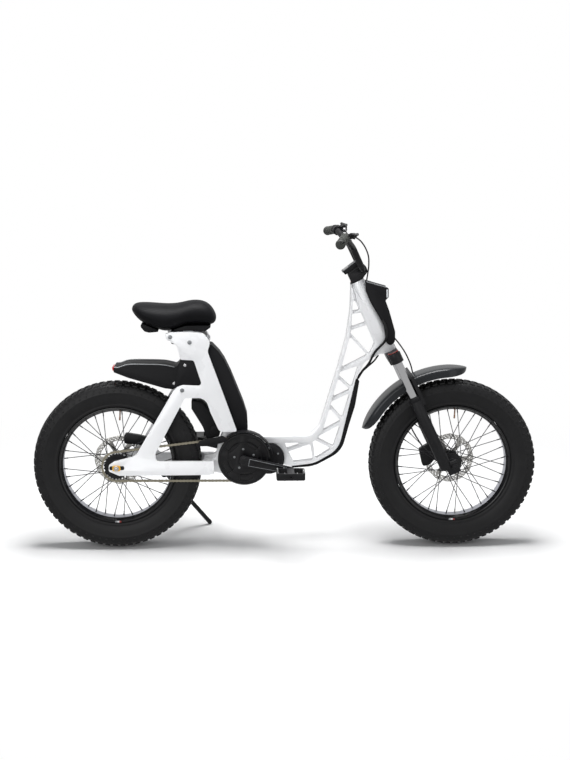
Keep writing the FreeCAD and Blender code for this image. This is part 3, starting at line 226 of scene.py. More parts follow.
white = Finish("cast_white", (0.83, 0.835, 0.85), (0.88, 0.885, 0.895), (0.24, 0.32), 900, 0.035,
               Coat_Weight=0.3, Coat_Roughness=0.12)
black_metal = Finish("black_satin_metal", (0.005, 0.005, 0.006), (0.011, 0.011, 0.012), (0.34, 0.46), 1500,
                     0.03, Specular_IOR_Level=0.22)
black_plastic = Finish("black_moulded_plastic", (0.005, 0.005, 0.006), (0.009, 0.009, 0.010), (0.42, 0.56),
                       1400, 0.16, Specular_IOR_Level=0.14)
case_black = Finish("battery_case", (0.005, 0.005, 0.006), (0.009, 0.009, 0.010), (0.44, 0.56), 1800, 0.28,
                    Specular_IOR_Level=0.14)
gloss_black = Finish("gloss_black", (0.003, 0.003, 0.004), (0.006, 0.006, 0.007), (0.18, 0.26), 700, 0.02,
                     Specular_IOR_Level=0.35)
fender_grey = Finish("fender_grey", (0.010, 0.011, 0.013), (0.018, 0.020, 0.023), (0.24, 0.34), 700, 0.03,
                     Specular_IOR_Level=0.22, Coat_Weight=0.12, Coat_Roughness=0.15)
rubber = Finish("tyre_rubber", (0.005, 0.005, 0.0055), (0.010, 0.010, 0.0108), (0.40, 0.52), 900, 0.10,
                patches=30, dust=0.006, Specular_IOR_Level=0.24)
grip_rubber = Finish("grip_rubber", (0.030, 0.032, 0.029), (0.048, 0.051, 0.046), (0.6, 0.72), 1200, 0.2,
                     dust=0.02, Specular_IOR_Level=0.3)
leather = Finish("saddle_cover", (0.004, 0.004, 0.005), (0.007, 0.007, 0.008), (0.44, 0.56), 1300, patches=25,
                 Specular_IOR_Level=0.08)
leather.bumped(leather.group(PEBBLE, {"Scale": 620.0, "Crease": 0.22})["Height"], 0.22, 0.0003)
steel = metal("bright_steel", (0.50, 0.50, 0.51), (0.66, 0.66, 0.67), (0.22, 0.34), 1500)
bolt_steel = metal("bolt_steel", (0.20, 0.21, 0.22), (0.32, 0.33, 0.34), (0.26, 0.38), 1500)
spoke_steel = metal("spoke_steel", (0.022, 0.022, 0.024), (0.05, 0.05, 0.053), (0.26, 0.38), 1200, 0.03)
rotor_steel = metal("rotor_steel", (0.46, 0.45, 0.43), (0.62, 0.61, 0.58), (0.24, 0.36), 500)
chain_gold = metal("chain_nickel", (0.24, 0.22, 0.17), (0.38, 0.35, 0.27), (0.26, 0.40), 2500, 0.06,
                   patches=120)
chain_dark = metal("chain_rollers", (0.10, 0.09, 0.08), (0.18, 0.17, 0.15), (0.34, 0.46), 2500, 0.06)
alloy = metal("silver_alloy", (0.58, 0.59, 0.61), (0.72, 0.73, 0.75), (0.26, 0.36), 900)
# Silver on the rim's inner bed is a painted reflection of the white surroundings in the gloss black rim
bed_painted_reflection = Finish("rim_bed_silver", (0.50, 0.51, 0.56), (0.62, 0.63, 0.68), (0.32, 0.42), 500, 0.04,
                    Metallic=0.7)
amber = Finish("amber_washer", (0.70, 0.36, 0.02), (0.85, 0.46, 0.04), (0.3, 0.4), 900)
brass = metal("valve_brass", (0.22, 0.12, 0.08), (0.36, 0.21, 0.13), (0.3, 0.4), 1500)
dark_red = Finish("dark_red", (0.20, 0.014, 0.010), (0.30, 0.024, 0.016), (0.3, 0.4), 900, 0.03)
lamp_red = Finish("tail_lens", (0.50, 0.006, 0.006), (0.66, 0.012, 0.012), (0.10, 0.18), 500, 0.02,
                  Coat_Weight=0.5)
lamp_clear = Finish("lamp_lens", (0.50, 0.52, 0.54), (0.66, 0.68, 0.70), (0.06, 0.12), 400, 0.02,
                    Coat_Weight=0.6)
screen = Finish("display_glass", (0.004, 0.004, 0.005), (0.008, 0.008, 0.010), (0.06, 0.10), 300, 0.005,
                Coat_Weight=0.6)
white_trim = Finish("white_trim", (0.62, 0.63, 0.64), (0.76, 0.77, 0.78), (0.3, 0.4), 900)
grey_trim = Finish("grey_trim", (0.24, 0.25, 0.26), (0.34, 0.35, 0.36), (0.3, 0.42), 900)
hose = Finish("hose_rubber", (0.004, 0.004, 0.005), (0.008, 0.008, 0.009), (0.34, 0.46), 2500, 0.1,
              Specular_IOR_Level=0.25)


def fork_finish():
    # Black above, and hard chrome on the stanchions below the crown
    paint = Finish("fork_black_and_chrome", (0.005, 0.005, 0.006), (0.011, 0.011, 0.012), (0.28, 0.36), 900,
                   0.02, Specular_IOR_Level=0.24)
    back = HEAD.inverted()
    spot = add(paint.tree, "ShaderNodeMapping", {
        "Vector": place_in(paint.tree), "Location": back.translation, "Rotation": back.to_euler()})
    height = add(paint.tree, "ShaderNodeSeparateXYZ", {0: spot.outputs[0]}).outputs["Z"]
    border, blur = 0.3125, 0.0004
    mask = ranged(paint.tree, maths(paint.tree, "MULTIPLY", height, -1.0), border - blur, border + blur)
    paint.set("Base Color", paint.mix(mask, paint.colour, (0.56, 0.56, 0.57)))
    paint.set("Metallic", mask)
    rough = paint.shader.inputs["Roughness"].links[0].from_socket
    paint.set("Roughness", maths(paint.tree, "MULTIPLY_ADD", mask, -0.22, rough))
    return paint


fork_paint = fork_finish()


# Meshes

def linked(name, data):
    thing = bpy.data.objects.new(name, data)
    bpy.context.scene.collection.objects.link(thing)
    return thing


def new_object(name, mesh, finishes):
    mesh.materials.clear()
    for finish in finishes if isinstance(finishes, list) else [finishes]:
        mesh.materials.append(finish.material)
    return linked(name, mesh)


def mesh_from(name, points, faces=(), matrix=Matrix.Identity(4), edges=()):
    mesh = bpy.data.meshes.new(name)
    mesh.from_pydata([put(matrix, point) for point in points], edges, faces)
    return mesh


def clean(mesh, crisp, merge=1e-6):
    # Doubles merged, faces turned outwards and smooth, and edges sharper than an angle kept crisp
    shape = bmesh.new()
    shape.from_mesh(mesh)
    if merge:
        bmesh.ops.remove_doubles(shape, verts=shape.verts, dist=merge)
        bmesh.ops.recalc_face_normals(shape, faces=shape.faces)
        shape.normal_update()
    for face in shape.faces:
        face.smooth = True
    for edge in shape.edges:
        edge.smooth = not (len(edge.link_faces) == 2 and edge.calc_face_angle(0.0) > math.radians(crisp))
    shape.to_mesh(mesh)
    shape.free()
    return mesh


def skin(rows, count, closed=False):
    # Faces between the rings of a grid, each a row of count points
    faces = []
    for i in range(rows if closed else rows - 1):
        here, there = i * count, (i + 1) % rows * count
        for k in range(count):
            after = (k + 1) % count
            faces.append((here + k, here + after, there + after, there + k))
    return faces


def ends(rows, count):
    # Faces that close the first and the last ring
    return [tuple(reversed(range(count))), tuple(range((rows - 1) * count, rows * count))]


def polar(radius, angle):
    return radius * math.cos(angle), radius * math.sin(angle)


def evaluated(thing):
    # The object's evaluated shape as a plain mesh. The object itself goes
    bpy.context.view_layer.update()
    mesh = bpy.data.meshes.new_from_object(thing.evaluated_get(bpy.context.evaluated_depsgraph_get()))
    bpy.data.objects.remove(thing)
    return mesh


def modifier(thing, kind, **settings):
    item = thing.modifiers.new(kind.lower(), kind)
    for name, value in settings.items():
        setattr(item, name, value)
    return item


def put_tree(thing, tree, values):
    # A geometry tree on the object, with its inputs set by identifier
    item = modifier(thing, "NODES", node_group=tree)
    for socket in tree.interface.items_tree:
        if socket.in_out == "INPUT" and socket.name in values:
            item[socket.identifier] = values[socket.name]


def run_tree(thing, tree, values):
    # The tree's result as an object of its own
    name = thing.name
    put_tree(thing, tree, values)
    return linked(name, evaluated(thing))


def lathe(name, profile, steps, matrix, finishes, bands=None, side=1, crisp=32):
    # Turns (y, radius) points round an axle. bands gives the finish of each side of the profile
    points = []
    for i in range(steps):
        for y, radius in profile:
            x, z = polar(radius, 2 * math.pi * i / steps)
            points.append((x, side * y, z))
    mesh = clean(mesh_from(name, points, skin(steps, len(profile), closed=True), matrix), crisp)
    thing = new_object(name, mesh, finishes)
    if bands:
        mesh.polygons.foreach_set("material_index", (bands * steps)[:len(mesh.polygons)])
    return thing


def rounded_loop(points, steps=5):
    # A closed outline with its corners rounded. A point is (x, z) or (x, z, radius)
    out = []
    for i, point in enumerate(points):
        here = Vector(point[:2])
        radius = point[2] if len(point) > 2 else 0
        back = Vector(points[i - 1][:2]) - here
        front = Vector(points[(i + 1) % len(points)][:2]) - here
        half = back.angle(front) / 2
        if radius == 0 or half > math.radians(89.5):
            out.append(tuple(here))
            continue
        reach = min(radius / math.tan(half), 0.48 * back.length, 0.48 * front.length)
        start, end = here + back.normalized() * reach, here + front.normalized() * reach
        for k in range(steps + 1):
            t = k / steps
            out.append(tuple((1 - t) ** 2 * start + 2 * t * (1 - t) * here + t ** 2 * end))
    return out


def circle_loop(radius, steps=24, centre=(0, 0)):
    return [(centre[0] + x, centre[1] + z)
            for x, z in (polar(radius, 2 * math.pi * i / steps) for i in range(steps))]


def slab(name, loops, y_near, y_far, matrix, finish, edge=0.8, crisp=32):
    # A flat piece in the side view between two depths, with holes, and rounded along its edges
    curve = bpy.data.curves.new(name, "CURVE")
    curve.dimensions = "2D"
    curve.fill_mode = "BOTH"
    half = abs(y_far - y_near) / 2
    edge = min(edge, half - 0.01)
    curve.extrude = (half - edge) * MM
    curve.bevel_depth = edge * MM
    curve.bevel_resolution = 2
    curve.offset = -edge * MM
    for loop in loops:
        spline = curve.splines.new("POLY")
        spline.points.add(len(loop) - 1)
        for point, spot in zip(spline.points, loop):
            point.co = (spot[0] * MM, spot[1] * MM, 0, 1)
        spline.use_cyclic_u = True
    mesh = evaluated(linked(name, curve))
    stand_up = Matrix(((1, 0, 0, 0), (0, 0, -1, (y_near + y_far) / 2 * MM), (0, 1, 0, 0), (0, 0, 0, 1)))
    mesh.transform(matrix @ stand_up)
    return new_object(name, clean(mesh, crisp), finish)


def pipe(name, points, radii, matrix, finish, sides=16):
    # A round piece along points, with a radius at each, on steady frames along the line
    points = [Vector(point) for point in points]
    rows = len(points)
    if not isinstance(radii, list):
        radii = [radii] * rows
    spots = []
    normal = None
    for i, (spot, radius) in enumerate(zip(points, radii)):
        way = (points[min(i + 1, rows - 1)] - points[max(i - 1, 0)]).normalized()
        if normal is None:
            normal = way.orthogonal().normalized()
        normal = (normal - way * normal.dot(way)).normalized()
        sideways = way.cross(normal)
        for k in range(sides):
            angle = 2 * math.pi * k / sides
            spots.append(spot + (normal * math.cos(angle) + sideways * math.sin(angle)) * radius)
    mesh = mesh_from(name, spots, skin(rows, sides) + ends(rows, sides), matrix)
    return new_object(name, clean(mesh, 40), finish)


def smooth_line(points, samples=12):
    # Points along a Catmull-Rom line through the given points
    points = [Vector(point) for point in points]
    out = []
    for i in range(len(points) - 1):
        a, b = points[max(i - 1, 0)], points[i]
        c, d = points[i + 1], points[min(i + 2, len(points) - 1)]
        for k in range(samples):
            t = k / samples
            out.append(0.5 * (2 * b + (c - a) * t + (2 * a - 5 * b + 4 * c - d) * t ** 2
                              + (3 * b - a - 3 * c + d) * t ** 3))
    out.append(points[-1])
    return out


def joined(name, things):
    # Several objects as one mesh
    shape = bmesh.new()
    materials = []
    for thing in things:
        first = len(shape.faces)
        shape.from_mesh(thing.data)
        shape.faces.ensure_lookup_table()
        own = list(thing.data.materials)
        materials += [item for item in own if item not in materials]
        for face in shape.faces[first:]:
            face.material_index = materials.index(own[face.material_index])
        bpy.data.objects.remove(thing)
    mesh = bpy.data.meshes.new(name)
    shape.to_mesh(mesh)
    shape.free()
    for item in materials:
        mesh.materials.append(item)
    return linked(name, mesh)


def direction(matrix):
    return matrix.to_3x3().to_4x4()


def axis_frame(matrix, start, toward):
    # A frame whose Y runs from one point to another
    way = (Vector(toward) - Vector(start)).normalized()
    turn = Vector((0, 1, 0)).rotation_difference(way).to_matrix().to_4x4()
    return matrix @ shift(*start) @ turn


def fit(thing, body, slot_name, *nodes):
    # The finished piece rides on its body, and stands for the nodes named
    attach(thing, body)
    if nodes:
        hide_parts(*nodes)
    return thing


# Geometry trees

def end_tree(tree, instances, given, out, **choice):
    # Every tree that repeats a shape ends in real faces with their material
    real = add(tree, "GeometryNodeRealizeInstances", {0: instances})
    painted = add(tree, "GeometryNodeSetMaterial", {
        "Geometry": real.outputs[0], "Material": given["Material"], **choice})
    tree.links.new(painted.outputs[0], out.inputs[0])
    return tree


def build_ring():
    # Repeats a shape round an axle, a number of times
    tree, given, out = new_tree("ring_of", {
        "Count": 12, "Centre": "Vector", "Turn": "Vector", "Material": "Material"})
    whole = add(tree, "GeometryNodeGeometryToInstance", {0: given["Geometry"]})
    copies = add(tree, "GeometryNodeDuplicateElements", {
        "Geometry": whole.outputs[0], "Amount": given["Count"]}, domain="INSTANCE")
    share = maths(tree, "DIVIDE", copies.outputs["Duplicate Index"], given["Count"])
    back = add(tree, "ShaderNodeVectorMath", {0: given["Centre"], "Scale": -1.0}, operation="SCALE")
    spun = add(tree, "FunctionNodeAxisAngleToRotation", {
        "Axis": given["Turn"], "Angle": maths(tree, "MULTIPLY", share, math.tau)})
    moved = copies.outputs[0]
    for kind, label, value in (("Translate", "Translation", back.outputs[0]),
                               ("Rotate", "Rotation", spun.outputs[0]),
                               ("Translate", "Translation", given["Centre"])):
        moved = add(tree, f"GeometryNode{kind}Instances", {
            "Instances": moved, label: value, "Local Space": False}).outputs[0]
    return end_tree(tree, moved, given, out)


def shape_of(tree, part):
    return add(tree, "GeometryNodeObjectInfo", {"Object": part, "As Instance": False},
               transform_space="ORIGINAL").outputs["Geometry"]


def build_scatter():
    # Sets a part on every point
    tree, given, out = new_tree("set_on_points", {"Part": "Object", "Material": "Material"})
    copies = add(tree, "GeometryNodeInstanceOnPoints", {
        "Points": given["Geometry"], "Instance": shape_of(tree, given["Part"])})
    return end_tree(tree, copies.outputs[0], given, out)


def build_links():
    # Two link shapes set in turn at even steps along a closed line. The plates get the material,
    # and the rollers keep theirs
    tree, given, out = new_tree("links_along", {
        "Count": 110, "Inner": "Object", "Outer": "Object", "Side": "Vector", "Material": "Material"})
    line = add(tree, "GeometryNodeMeshToCurve", {0: given["Geometry"]})
    spots = add(tree, "GeometryNodeCurveToPoints", {"Curve": line.outputs[0], "Count": given["Count"]},
                mode="COUNT")
    along = add(tree, "FunctionNodeAxesToRotation", {
        "Primary Axis": spots.outputs["Tangent"], "Secondary Axis": given["Side"]},
        primary_axis="X", secondary_axis="Y")
    odd = maths(tree, "MODULO", add(tree, "GeometryNodeInputIndex").outputs[0], 2.0)
    both = add(tree, "GeometryNodeJoinGeometry")
    for label, pick in (("Inner", odd), ("Outer", maths(tree, "SUBTRACT", 1.0, odd))):
        copies = add(tree, "GeometryNodeInstanceOnPoints", {
            "Points": spots.outputs["Points"], "Selection": pick, "Instance": shape_of(tree, given[label]),
            "Rotation": along.outputs[0]})
        tree.links.new(copies.outputs[0], both.inputs[0])
    index = add(tree, "GeometryNodeInputMaterialIndex").outputs[0]
    plates = add(tree, "FunctionNodeCompare", {2: index, 3: 0}, data_type="INT", operation="EQUAL")
    return end_tree(tree, both.outputs[0], given, out, Selection=plates.outputs[0])


def build_smooth():
    # Smooth faces, with edges sharper than an angle kept crisp
    tree, given, out = new_tree("smooth_by_angle", {"Angle": 0.6})
    faces = add(tree, "GeometryNodeSetShadeSmooth", {"Geometry": given["Geometry"], "Shade Smooth": True},
                domain="FACE")
    bend = add(tree, "GeometryNodeInputMeshEdgeAngle")
    sharp = add(tree, "FunctionNodeCompare", {0: bend.outputs["Unsigned Angle"], 1: given["Angle"]},
                operation="GREATER_THAN")
    edges = add(tree, "GeometryNodeSetShadeSmooth", {
        "Geometry": faces.outputs[0], "Selection": sharp.outputs[0], "Shade Smooth": False}, domain="EDGE")
    tree.links.new(edges.outputs[0], out.inputs[0])
    return tree


RING, SCATTER, SMOOTH = build_ring(), build_scatter(), build_smooth()


def ring_of(thing, count, matrix, finish):
    return run_tree(thing, RING, {
        "Count": count, "Centre": matrix.translation, "Turn": matrix.to_3x3() @ Vector((0, 1, 0)),
        "Material": finish.material})


def scatter(name, part, spots, matrix):
    # The part at each spot. The part is made round the origin, turned as the frame is
    holder = linked(name, mesh_from(name, spots, matrix=matrix))
    whole = run_tree(holder, SCATTER, {"Part": part, "Material": part.data.materials[0]})
    bpy.data.objects.remove(part)
    return whole


# CAD nodes that keep their shape: edges rounded, faces smooth

def dressed(node, finish, edge):
    # Gives a CAD node its finish and, through modifiers, rounded edges and smooth faces
    thing = frame["nodes"][node]
    thing.data.materials.clear()
    thing.data.materials.append(finish.material)
    modifier(thing, "WELD", merge_threshold=1e-6)
    crisp = math.radians(33)
    if edge:
        modifier(thing, "DECIMATE", decimate_type="DISSOLVE", angle_limit=math.radians(0.6))
        modifier(thing, "BEVEL", width=edge * MM, segments=2, limit_method="ANGLE", angle_limit=crisp,
                 harden_normals=False, use_clamp_overlap=True)
    put_tree(thing, SMOOTH, {"Angle": crisp})


for finish, edge, nodes in (
    (white, 2.0, "front_frame"), (white, 2.2, "rear_plate_right rear_plate_left"),
    (case_black, 3.0, "battery"), (black_plastic, 1.0, "rear_fender chain_cover"),
    (black_plastic, 1.2, "seat_base"),
    (black_plastic, 2.0, "cable_cover headlight_housing display"),
    (black_plastic, 3.0, "splash_guard seat_bumper"), (black_metal, 0.0, "handlebar chainring rear_sprocket"),
    (black_metal, 0.6, "front_axle bar_controls"), (black_metal, 0.8, "stand_leg guard_disc front_hub"),
    (black_metal, 1.0, "stand_bracket pedal_right pedal_left"),
    (black_metal, 1.2, "rear_caliper front_caliper"),
    (black_metal, 2.0, "fork_lowers stem crank_arms"), (black_metal, 2.5, "motor"),
    (fork_paint, 1.5, "fork_upper"), (alloy, 0.8, "rear_hub"), (lamp_clear, 0.6, "headlight_lens"),
    (lamp_red, 0.6, "tail_lamp"), (hose, 0.0, "front_brake_hose rear_brake_hose frame_cable"),
):
    for node in nodes.split():
        dressed(node, finish, edge)


# Wheels

CASING = (
    (34.5, 209.8), (37.5, 213), (39.5, 217), (40.0, 220), (39.2, 221.5), (41.5, 226), (45.0, 238),
    (47.6, 252), (48.4, 262), (48.7, 263), (48.7, 265), (48.3, 266), (47.6, 275), (45.6, 283.5),
    (41.5, 289.5), (33, 293.4), (22, 295.3), (10, 296.2), (0, 296.4),
)
PITCHES = 68
SHOULDER = math.radians(64)
# The outlines of a pitch's blocks on the crown, as (along, across), and its shoulder lugs,
# as (along, down, length, width, height)
CROWN_BLOCKS = (
    ((-9, 2.0), (9, 2.0), (10, 13.0), (-6, 14.5)),
    ((-8, 17.0), (11, 16.0), (9, 27.0), (-9, 28.0)),
    ((-11, 30.0), (7, 31.0), (8, 39.0), (-10, 39.5)),
)
SHOULDER_LUGS = ((8, 1.0, 9, 12, 3.6), (-4, 2.0, 8, 7, 3.2), (2, 17.0, 7, 5, 2.0))


def block(points, foot, top):
    # A tread block: its outline at the foot and the same outline drawn in at the top
    middle = sum((Vector(p) for p in points), Vector((0, 0))) / len(points)
    out = []
    for share, height in ((1.0, foot), (0.94, top - 0.8), (0.80, top)):
        for p in points:
            spot = middle + (Vector(p) - middle) * share
            out.append((spot.x, spot.y, height))
    count = len(points)
    return out, [tuple(range(2 * count, 3 * count))] + skin(3, count)


def on_crown(y, height):
    return y, height - 0.0034 * y * y


def on_shoulder(down, out):
    return (39.0 + down * math.cos(SHOULDER) + out * math.sin(SHOULDER),
            289.5 - down * math.sin(SHOULDER) + out * math.cos(SHOULDER))


def tread_pitch(name, matrix):
    # Blocks of one pitch of the tread, laid on the crown and down the shoulder
    points, faces = [], []

    def lay(outline, foot, top, place):
        base = len(points)
        spots, new_faces = block([(x + offset, y) for x, y in outline], foot, top)
        for along, down, height in spots:
            y, radius = place(down, height)
            z, x = polar(radius, along / TYRE_RADIUS)
            points.append((x, side * y, z))
        faces.extend(tuple(base + i for i in face) for face in new_faces)

    for side, offset in ((1, 0), (-1, math.pi * TYRE_RADIUS / PITCHES)):
        for outline in CROWN_BLOCKS:
            lay(outline, 295.5, 300.9, on_crown)
        for x, y, w, h, out in SHOULDER_LUGS:
            lay(((x, y), (x + w, y), (x + w - 1, y + h), (x + 1, y + h)), -0.6, out, on_shoulder)
    return new_object(name, clean(mesh_from(name, points, faces, matrix), 25), rubber)


def tyre(end):
    matrix = AXLES[end]
    profile = list(CASING) + [(-y, r) for y, r in reversed(CASING[:-1])]
    casing = lathe(f"{end}_casing", profile, 144, matrix, rubber, crisp=60)
    tread = ring_of(tread_pitch(f"{end}_tread", matrix), PITCHES, matrix, rubber)
    fit(joined(f"{end}_tyre_rubber", [casing, tread]), f"{end}_wheel", "tyre_rubber", f"{end}_tyre")


RIM_HALF = ((38, 209), (38.4, 206), (37, 203.5), (33, 202.2), (27, 198), (22, 194.6), (10, 194.0))
RIM_BED = (5, 6, 7)


def rim(end):
    profile = list(RIM_HALF) + [(-y, r) for y, r in reversed(RIM_HALF)]
    bands = [int(k in RIM_BED) for k in range(len(profile))]
    # The bed bands take the silver finish, a painted reflection on the gloss black rim
    ring = lathe(f"{end}_rim_ring", profile, 144, AXLES[end], [gloss_black, bed_painted_reflection], bands)
    fit(ring, f"{end}_wheel", "black_metal", f"{end}_rim")


def spoke_group(end):
    # Four spokes with their nipples, and the ring tree repeats them round the hub
    matrix = AXLES[end]
    parts = []
    for i in range(4):
        side = SIDES[i % 2]
        lead = 1 if i < 2 else -1
        at_rim = math.radians(10 * (i + 0.5))
        at_hub = at_rim - lead * math.radians(72)
        start, stop = (Vector((x, side * (y + lead * 2.2), z))
                       for (x, z), y in ((polar(33, at_hub), 31), (polar(193.6, at_rim), 9)))
        way = (stop - start).normalized()
        parts.append(pipe(f"{end}_spoke_{i}", [start - way, start + way * 4, start + way * 60, stop], 1.35,
                          matrix, spoke_steel, sides=8))
        parts.append(pipe(f"{end}_nipple_{i}", [stop - way * d for d in (14, 13, 2, 0)], [1.6, 2.1, 2.1, 2.6],
                          matrix, spoke_steel, sides=8))
    wires = ring_of(joined(f"{end}_wire_spokes", parts), 9, matrix, spoke_steel)
    clean(wires.data, 40, merge=0)
    fit(wires, f"{end}_wheel", "steel", f"{end}_spokes")


def rotor(end):
    # Waved braking ring on six arms, drilled in groups
    matrix = AXLES[end]
    turns = [2 * math.pi * i / 144 for i in range(144)]
    loops = [[polar(88.8 + 1.1 * math.cos(angle * 12), angle) for angle in turns], circle_loop(21, 36)]
    window = ((30, 8), (46, 4), (70, 5), (71, 20), (71, 36), (70, 50), (50, 46), (31, 44))
    for i in range(6):
        loops.append(rounded_loop([(*polar(radius, math.radians(60 * i) + math.radians(angle)), 4)
                                   for radius, angle in window], 4))
    for i in range(36):
        for k, (radius, hole) in enumerate(((76, 2.4), (80.5, 2.0), (84.6, 1.7))):
            loops.append(circle_loop(hole, 8, polar(radius, math.radians(10 * i + 3.4 * k))))
    disc = slab(f"{end}_rotor_disc", loops, 60.3, 62.3, matrix, rotor_steel, edge=0.15, crisp=30)
    carrier = slab(f"{end}_rotor_carrier", [circle_loop(27, 48), circle_loop(12.6)], 62.4, 64.6, matrix,
                   black_metal, edge=0.5)
    fit(joined(f"{end}_brake_rotor", [disc, carrier]), f"{end}_wheel", "steel", f"{end}_rotor")


for end in ("rear", "front"):
    tyre(end)
    rim(end)
    spoke_group(end)
    rotor(end)


# Chain: links repeated along the loop, inner and outer in turn

PITCH = 12.7
PLATE = 0.9


def chain_loop():
    # The chain's line in the side view, round the chainring and the sprocket
    big, small = (PITCH / (2 * math.sin(math.pi / teeth)) for teeth in (40, 26))
    front, rear = Vector(CRANK_SPOT), Vector((0, TYRE_RADIUS))
    gap = front - rear
    level = math.atan2(gap.y, gap.x)
    spread = math.acos((small - big) / gap.length)
    out = []
    for centre, radius, start, stop in ((front, big, level + spread, level - spread),
                                        (rear, small, level - spread, level + spread - 2 * math.pi)):
        out += [centre + Vector(polar(1, start + (stop - start) * k / 60)) * radius for k in range(61)]
    return out


def link(name, half_width):
    # Two waisted plates and a roller, centred on the pitch and running along X
    matrix = Matrix.Identity(4)
    outline = []
    for way in (1, -1):
        arc = [polar(4.3, math.radians(-90 * way + 30 * k)) for k in range(7)]
        outline += [(way * PITCH / 2 + x, z) for x, z in arc] + [(0, 3.0 * way)]
    parts = [slab(f"{name}_{side}", [outline], side * half_width, side * half_width - side * PLATE, matrix,
                  chain_gold, edge=0.0, crisp=30) for side in SIDES]
    ends_of = [(PITCH / 2, side * (half_width - PLATE), 0) for side in SIDES]
    parts.append(pipe(f"{name}_roller", ends_of, 3.4, matrix, chain_dark, sides=8))
    return joined(name, parts)


def chain():
    points = chain_loop()
    length = sum((b - a).length for a, b in zip(points, points[1:] + points[:1]))
    edges = [(i, (i + 1) % len(points)) for i in range(len(points))]
    mesh = mesh_from("roller_chain", [(p.x, -54, p.y) for p in points], matrix=BIKE, edges=edges)
    inner, outer = link("inner_link", 2.6), link("outer_link", 3.7)
    whole = run_tree(new_object("roller_chain", mesh, chain_gold), build_links(), {
        "Count": 2 * round(length / PITCH / 2), "Inner": inner, "Outer": outer, "Side": across,
        "Material": chain_gold.material})
    bpy.data.objects.remove(inner)
    bpy.data.objects.remove(outer)
    fit(whole, "root", "chain_steel", "chain")


chain()


# Saddle: its top line, its under side and its half width along the bike

SEAT_TOP = (
    (58, 862), (62, 872), (70, 878.5), (84, 881.5), (110, 882), (155, 879), (188, 877), (213, 878), (235, 882),
    (262, 889), (289, 891.5), (311, 888), (329, 878.5), (345, 860), (354, 843), (357.5, 829),
)
SEAT_LOW = (
    (58, 862), (62, 850), (72, 836), (90, 817), (128, 798.5), (145, 792), (164, 783.5), (178, 780.5),
    (200, 786), (228, 795), (244, 803.5), (262, 805), (289, 805), (331, 803.5), (345, 806.5), (354, 815),
    (357.5, 829),
)
SEAT_HALF = (
    (58, 20), (62, 44), (72, 68), (86, 84), (104, 94), (130, 98), (165, 98), (200, 95), (230, 89), (262, 80),
    (289, 74), (315, 69), (335, 62), (350, 48), (357.5, 18),
)
SEAT_STATIONS = (59, 62, 67, 74, 84, 98, 116, 138, 160, 182, 204, 224, 242, 260, 280, 300, 318, 332, 343, 351,
                 356)
SEAT_RING = 28


def saddle():
    points = []
    for x in SEAT_STATIONS:
        top, low, half = (float(np.interp(x, *zip(*table))) for table in (SEAT_TOP, SEAT_LOW, SEAT_HALF))
        waist = low + (top - low) * 0.44
        for k in range(SEAT_RING):
            c, s = polar(1, 2 * math.pi * k / SEAT_RING)
            spread = math.copysign(abs(c) ** 0.78, c)
            lift = math.copysign(abs(s) ** (0.95 if s > 0 else 0.62), s)
            z = waist + (top - waist) * lift if s > 0 else waist + (waist - low) * lift
            tuck = 1.0 if s > 0 else 1.0 - 0.26 * abs(lift) ** 1.6
            points.append((x, half * spread * tuck, z))
    rows = len(SEAT_STATIONS)
    faces = [(a, d, c, b) for a, b, c, d in skin(rows, SEAT_RING)]
    faces += [face[::-1] for face in ends(rows, SEAT_RING)]
    thing = new_object("saddle_pad", clean(mesh_from("saddle_pad", points, faces, BIKE), 180), leather)
    modifier(thing, "SUBSURF", levels=2, render_levels=2)
    thing = linked("saddle_pad", evaluated(thing))
    clean(thing.data, 180, merge=0)
    fit(thing, "root", "seat_cover", "seat")


saddle()


# Fasteners

def bolt_head(name, matrix, side, radius, height, finish):
    # Button head with a socket, its foot at the origin. side is +1 to the left and -1 to the right
    profile = [(-0.6, radius), (height - 0.7, radius), (height - 0.2, radius - 0.5), (height, radius - 1.0),
               (height, radius * 0.5), (0.4, radius * 0.45), (0.4, 0.0), (-0.6, 0.0)]
    return lathe(name, profile, 24, direction(matrix), finish, side=side, crisp=35)


def bolt_circle(radius, y, count):
    # Spots round an axle, the first half a step past its X axis
    step = 360 / count
    turns = [polar(radius, math.radians(step * k + step / 2)) for k in range(count)]
    return [(x, y, z) for x, z in turns]


# Name, spots, distance from the mid plane, radius, height, finish
PLATE_BOLTS = (
    ("mast", ((195, 769), (263, 750), (235, 580)), 87.9, 7.6, 1.8, bolt_steel),
    ("bracket", ((246, 669),), 86.5, 5.2, 2.4, steel),
    ("deck", ((206, 600),), 60, 5.2, 3.0, steel),
)
GUARD_BOSS = [(45.6, 0), (45.6, 19), (49.0, 18), (50.0, 16), (50.0, 6), (51.4, 5), (51.4, 0)]
for side, label in ((-1, "right"), (1, "left")):
    for group, spots, across_mid, radius, height, finish in PLATE_BOLTS:
        head = bolt_head(f"{label}_{group}_head", BIKE, side, radius, height, finish)
        fit(scatter(f"{label}_{group}_bolts", head, [(x, side * across_mid, z) for x, z in spots], BIKE),
            "root", "steel")
    fit(lathe(f"{label}_guard_boss", GUARD_BOSS, 40, BIKE @ shift(350, 0, 428), black_plastic, side=side),
        "root", "black_plastic")


# Rear end

